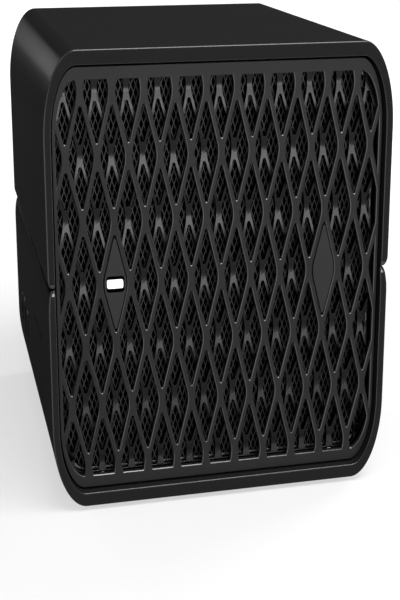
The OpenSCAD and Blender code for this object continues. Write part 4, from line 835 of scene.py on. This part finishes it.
def plate(bm, x):
    slab(bm, diamond(x, BAR / 2 + BUTTON_GAP), GRILLE_Y, GRILLE_Y + GRILLE_T, PLATE_ROUND)


def button_slot(bm):
    oval_slot(bm, BUTTON_X, MID_Z, SLOT_W, SLOT_H, SLOT_ROUND, GRILLE_Y - SLOT_START, GRILLE_Y + SLOT_D)


def button_stem(bm):
    rounded_box(bm, about(BUTTON_X, STEM_W), (GRILLE_Y + GRILLE_T - SINK, STEM_END), about(MID_Z, STEM_H),
                STEM_ROUND)


button = mesh_of("power_diamond", lambda bm: plate(bm, BUTTON_X))
cut(button, mesh_of("slot_tool", button_slot))
button = joined(button, mesh_of("button_stem", button_stem))
soften(button)
coat(button, plate_paint, finish("slot_black", (0.001, 0.001, 0.001), rough=0.7, spec=0.0))
for face in button.data.polygons:
    c = face.center
    face.material_index = int(abs(c.x - BUTTON_X) < SLOT_W / 2 + SLOT_MARGIN
                              and abs(c.z - MID_Z) < SLOT_H / 2 + SLOT_MARGIN
                              and GRILLE_Y + SLOT_SKIN < c.y < GRILLE_Y + SLOT_D + SLOT_SKIN)
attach(button, "button")
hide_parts("power_button")


def light_lens(bm):
    oval_slot(bm, BUTTON_X, MID_Z - LENS_DROP, LENS_W, LENS_H, LENS_ROUND, GRILLE_Y + LENS_Y[0],
              GRILLE_Y + LENS_Y[1], LENS_EDGE)


lamp_paint = finish("frosted_light", (0.9, 0.9, 0.9), rough=0.5, grain=1200, depth=0.00002, spread=0.03)
lamp_shader = lamp_paint.node_tree.nodes["Principled BSDF"]
lamp_shader.inputs["Emission Color"].default_value = (1, 1, 1, 1)
lamp_shader.inputs["Emission Strength"].default_value = 1.0
lamp = mesh_of("light_lens", light_lens)
soften(lamp)
coat(lamp, lamp_paint)
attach(lamp, "button")
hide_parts("light_bar")


def bare_plate(bm):
    plate(bm, -BUTTON_X)
    slab(bm, diamond(-BUTTON_X, BAR / 4), GRILLE_Y + GRILLE_T, GRILLE_Y + GRILLE_T + BACKING_T)


bare = mesh_of("bare_diamond", bare_plate)
soften(bare)
coat(bare, plate_paint)
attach(bare, "chassis")
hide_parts("blank_plate")

dress(finish("guide_black", (0.012, 0.012, 0.013), rough=0.55), "button_guide", "push_switch")
dress(finish("plunger_cream", (0.55, 0.52, 0.44), rough=0.45), "switch_plunger")

# Chassis: zinc-plated sheet steel, folded and screwed into the lower casing, with small steel screws
# that have hexagon sockets. The rear panel is the same sheet, painted black.
screw_steel = finish("screw_steel", (0.60, 0.61, 0.63), rough=0.25, metal=1.0, grain=2200, depth=0.00001,
                     spread=0.08)
dress(finish("zinc_plate", (0.36, 0.37, 0.38), rough=0.40, metal=1.0, grain=420, depth=0.00002),
      "chassis_frame")
dress(screw_steel, "chassis_screws", "board_screws", "cold_plate_screws", "side_board_screws")
dress(finish("screw_black", (0.010, 0.010, 0.010), rough=0.5, grain=1800, depth=0.00001, spread=0.1,
             spec=0.2),
      "grille_screws", "guide_screws", "fan_screws")
dress(finish("rear_black", (0.022, 0.022, 0.024), rough=0.5, metal=0.3, grain=1300), "rear_panel")
dress(finish("foot_rubber", (0.012, 0.012, 0.012), rough=0.8, grain=900, depth=0.00005, spread=0.2),
      "rubber_feet")
dress(finish("thumb_black_nickel", (0.16, 0.16, 0.17), rough=0.28, metal=1.0, grain=1500, depth=0.00001,
             spread=0.08),
      "thumb_screw_left", "thumb_screw_right")

# Fans: black glass-filled frames, each with a grey rotor of swept blades on a steel shaft, screwed to
# the back of the front bulkhead.
dress(finish("fan_frame_black", (0.020, 0.020, 0.021), rough=0.5, grain=1100),
      "fan_frame_lower", "fan_frame_upper")
dress(finish("fan_rotor_grey", (0.035, 0.036, 0.040), rough=0.42, grain=1100, depth=0.00003),
      "fan_rotor_lower", "fan_rotor_upper")

# Boards: green fibreglass with a glossy mask over copper tracks, brass standoffs, plug-in cards and
# black sockets. Chokes, capacitors and small chips are soldered to the main board in rows.
board_green = finish("board_green", (0.012, 0.075, 0.035), rough=0.32, grain=600, spread=0.25)


def tracks(paint, light, scale):
    """Lighter lines under the mask, where copper runs, laid out in the board's own plane."""
    tree, wires = paint.node_tree.nodes, paint.node_tree.links
    shader = tree["Principled BSDF"]
    ground = shader.inputs["Base Color"].links[0].from_socket
    place = tree.new("ShaderNodeTexCoord")
    part = tree.new("ShaderNodeSeparateXYZ")
    wires.new(place.outputs["Object"], part.inputs[0])
    flat = tree.new("ShaderNodeCombineXYZ")
    wires.new(part.outputs["Z"], flat.inputs["X"])
    wires.new(part.outputs["Y"], flat.inputs["Y"])
    runs = tree.new("ShaderNodeTexBrick")
    runs.inputs["Scale"].default_value = scale
    runs.inputs["Mortar Size"].default_value = 0.035
    runs.inputs["Mortar Smooth"].default_value = 0.1
    runs.inputs["Brick Width"].default_value = 1.7
    runs.inputs["Row Height"].default_value = 0.22
    runs.inputs["Mortar"].default_value = (*light, 1)
    wires.new(flat.outputs[0], runs.inputs["Vector"])
    wires.new(ground, runs.inputs["Color1"])
    wires.new(ground, runs.inputs["Color2"])
    wires.new(runs.outputs["Color"], shader.inputs["Base Color"])


tracks(board_green, (0.030, 0.150, 0.070), 95)
dress(board_green, "main_board", "button_board", "side_port_board", "memory_modules", "supply_board")
dress(finish("card_blue", (0.012, 0.050, 0.085), rough=0.34, grain=600, spread=0.25), "storage_card")
dress(finish("can_steel", (0.42, 0.43, 0.45), rough=0.35, metal=1.0, grain=500), "wireless_card")
dress(finish("cell_steel", (0.66, 0.67, 0.68), rough=0.22, metal=1.0, grain=900), "clock_battery")
dress(finish("standoff_brass", (0.60, 0.43, 0.16), rough=0.3, metal=1.0, grain=900), "board_standoffs")
dress(finish("socket_black", (0.014, 0.014, 0.015), rough=0.45),
      "memory_socket_bars", "mains_inlet", "audio_jack", "rear_serial_tongues", "display_tongues",
      "side_tongues")
dress(finish("lead_grey", (0.040, 0.040, 0.042), rough=0.5), "button_lead")
BOARD_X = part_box("main_board")[0].x


def part_rows(paint, can=False):
    """Rows of like parts on the board's face: square blocks, or round cans."""
    tree = Tree("board_part_rows")
    columns, rows = tree.size("columns", 1.0), tree.size("rows", 6.0)
    step_y, step_z = tree.size("step_y", 0.007), tree.size("step_z", 0.007)
    wide, long, tall = tree.size("wide", 0.006), tree.size("long", 0.006), tree.size("tall", 0.004)
    at_y, at_z, kept = tree.size("at_y", 0.0), tree.size("at_z", 0.1), tree.size("kept", 1.0)
    spots = tree.geo("MeshGrid", {
        "Size X": tree.math("MULTIPLY", step_y, tree.math("SUBTRACT", columns, 1.0)),
        "Size Y": tree.math("MULTIPLY", step_z, tree.math("SUBTRACT", rows, 1.0)),
        "Vertices X": columns, "Vertices Y": rows})
    lucky = tree.node("FunctionNodeRandomValue", {"Probability": kept, "Seed": 7},
                      data_type="BOOLEAN").outputs[3]
    if can:
        part = tree.geo("MeshCylinder", {
            "Vertices": 24, "Radius": tree.math("MULTIPLY", wide, 0.5), "Depth": tall})
    else:
        part = tree.geo("MeshCube", {"Size": tree.vector(wide, long, tall)})
    stood = tree.geo("Transform", {
        "Geometry": part, "Translation": tree.vector(0.0, 0.0, tree.math("MULTIPLY", tall, 0.5))})
    placed = tree.geo("InstanceOnPoints", {"Points": spots, "Instance": stood, "Selection": lucky})
    turned = tree.geo("Transform", {
        "Geometry": placed, "Rotation": (-pi / 2, 0, pi / 2),
        "Translation": tree.vector(BOARD_X, at_y, at_z)})
    tree.end(turned, paint)
    return tree


choke_paint = finish("choke_grey", (0.075, 0.075, 0.080), rough=0.42, metal=0.2, grain=900)
can_paint = finish("can_aluminium", (0.60, 0.61, 0.62), rough=0.28, metal=1.0, grain=900)
chip_paint = finish("chip_black", (0.012, 0.012, 0.013), rough=0.4, grain=1200)
for name, paint, can, slot, sizes in (
        ("choke_row", choke_paint, False, "chip_metal", dict(at_y=0.0195, at_z=0.1390)),
        ("capacitor_row", can_paint, True, "aluminium",
         dict(wide=0.0044, tall=0.0055, at_y=0.0275, at_z=0.1390)),
        ("chip_field", chip_paint, False, "black_plastic",
         dict(columns=5.0, rows=14.0, step_y=0.0042, step_z=0.0038, wide=0.0012, long=0.0022, tall=0.0007,
              at_y=0.0430, at_z=0.1440, kept=0.7)),
        ("chip_strip", chip_paint, False, "black_plastic",
         dict(columns=5.0, rows=4.0, step_y=0.0038, step_z=0.0044, wide=0.0012, long=0.0022, tall=0.0007,
              at_y=0.0, at_z=0.1755, kept=0.8))):
    row = settle(part_rows(paint, can).grow(name, **sizes))
    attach(row, "chassis")

# Heat sink: a copper plate on the processor, copper pipes bent round into a stack of thin
# aluminium fins that are pressed on to them.
dress(finish("chip_nickel", (0.45, 0.46, 0.47), rough=0.3, metal=1.0, grain=700), "processor")
dress(finish("plate_copper", (0.72, 0.36, 0.20), rough=0.3, metal=1.0, grain=500), "cold_plate")
dress(finish("pipe_copper", (0.76, 0.40, 0.24), rough=0.24, metal=1.0, grain=900), "heat_pipes")
dress(finish("fin_aluminium", (0.72, 0.73, 0.74), rough=0.3, metal=1.0, grain=700, stretch=(1, 1, 12)),
      "heat_fins")

# Power supply: a plated steel case with slots, a black cable to a pale plug on the main board, and the
# mains inlet with its blades at the rear.
dress(finish("supply_steel", (0.48, 0.49, 0.51), rough=0.36, metal=1.0, grain=380), "supply_case")
dress(finish("cable_black", (0.012, 0.012, 0.012), rough=0.6, grain=900), "supply_cable")
dress(finish("plug_cream", (0.62, 0.59, 0.50), rough=0.42), "cable_plug")
dress(finish("blade_nickel", (0.64, 0.65, 0.66), rough=0.24, metal=1.0, grain=1200), "inlet_blades")

# Sockets: folded metal shells round black tongues, on the rear edge of the main board and on a small
# board behind the left wall. Above each side socket a plain light mark is inlaid.
dress(finish("socket_shell", (0.55, 0.56, 0.58), rough=0.3, metal=1.0, grain=900),
      "rear_serial_sockets", "display_sockets", "network_socket", "side_serial_socket", "side_small_socket")
MARK_SUNK, MARK_BACK = 0.00002, 0.0003


def side_marks(bm):
    x = (-CASE_W / 2 + MARK_SUNK, -CASE_W / 2 + MARK_BACK)
    for y, z, w, h in SIDE_MARKS:
        rounded_box(bm, x, about(y, w), about(z, h), 0)


marks = mesh_of("side_marks", side_marks)
coat(marks, finish("mark_ink", (0.45, 0.45, 0.46), rough=0.6))
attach(marks, "chassis")
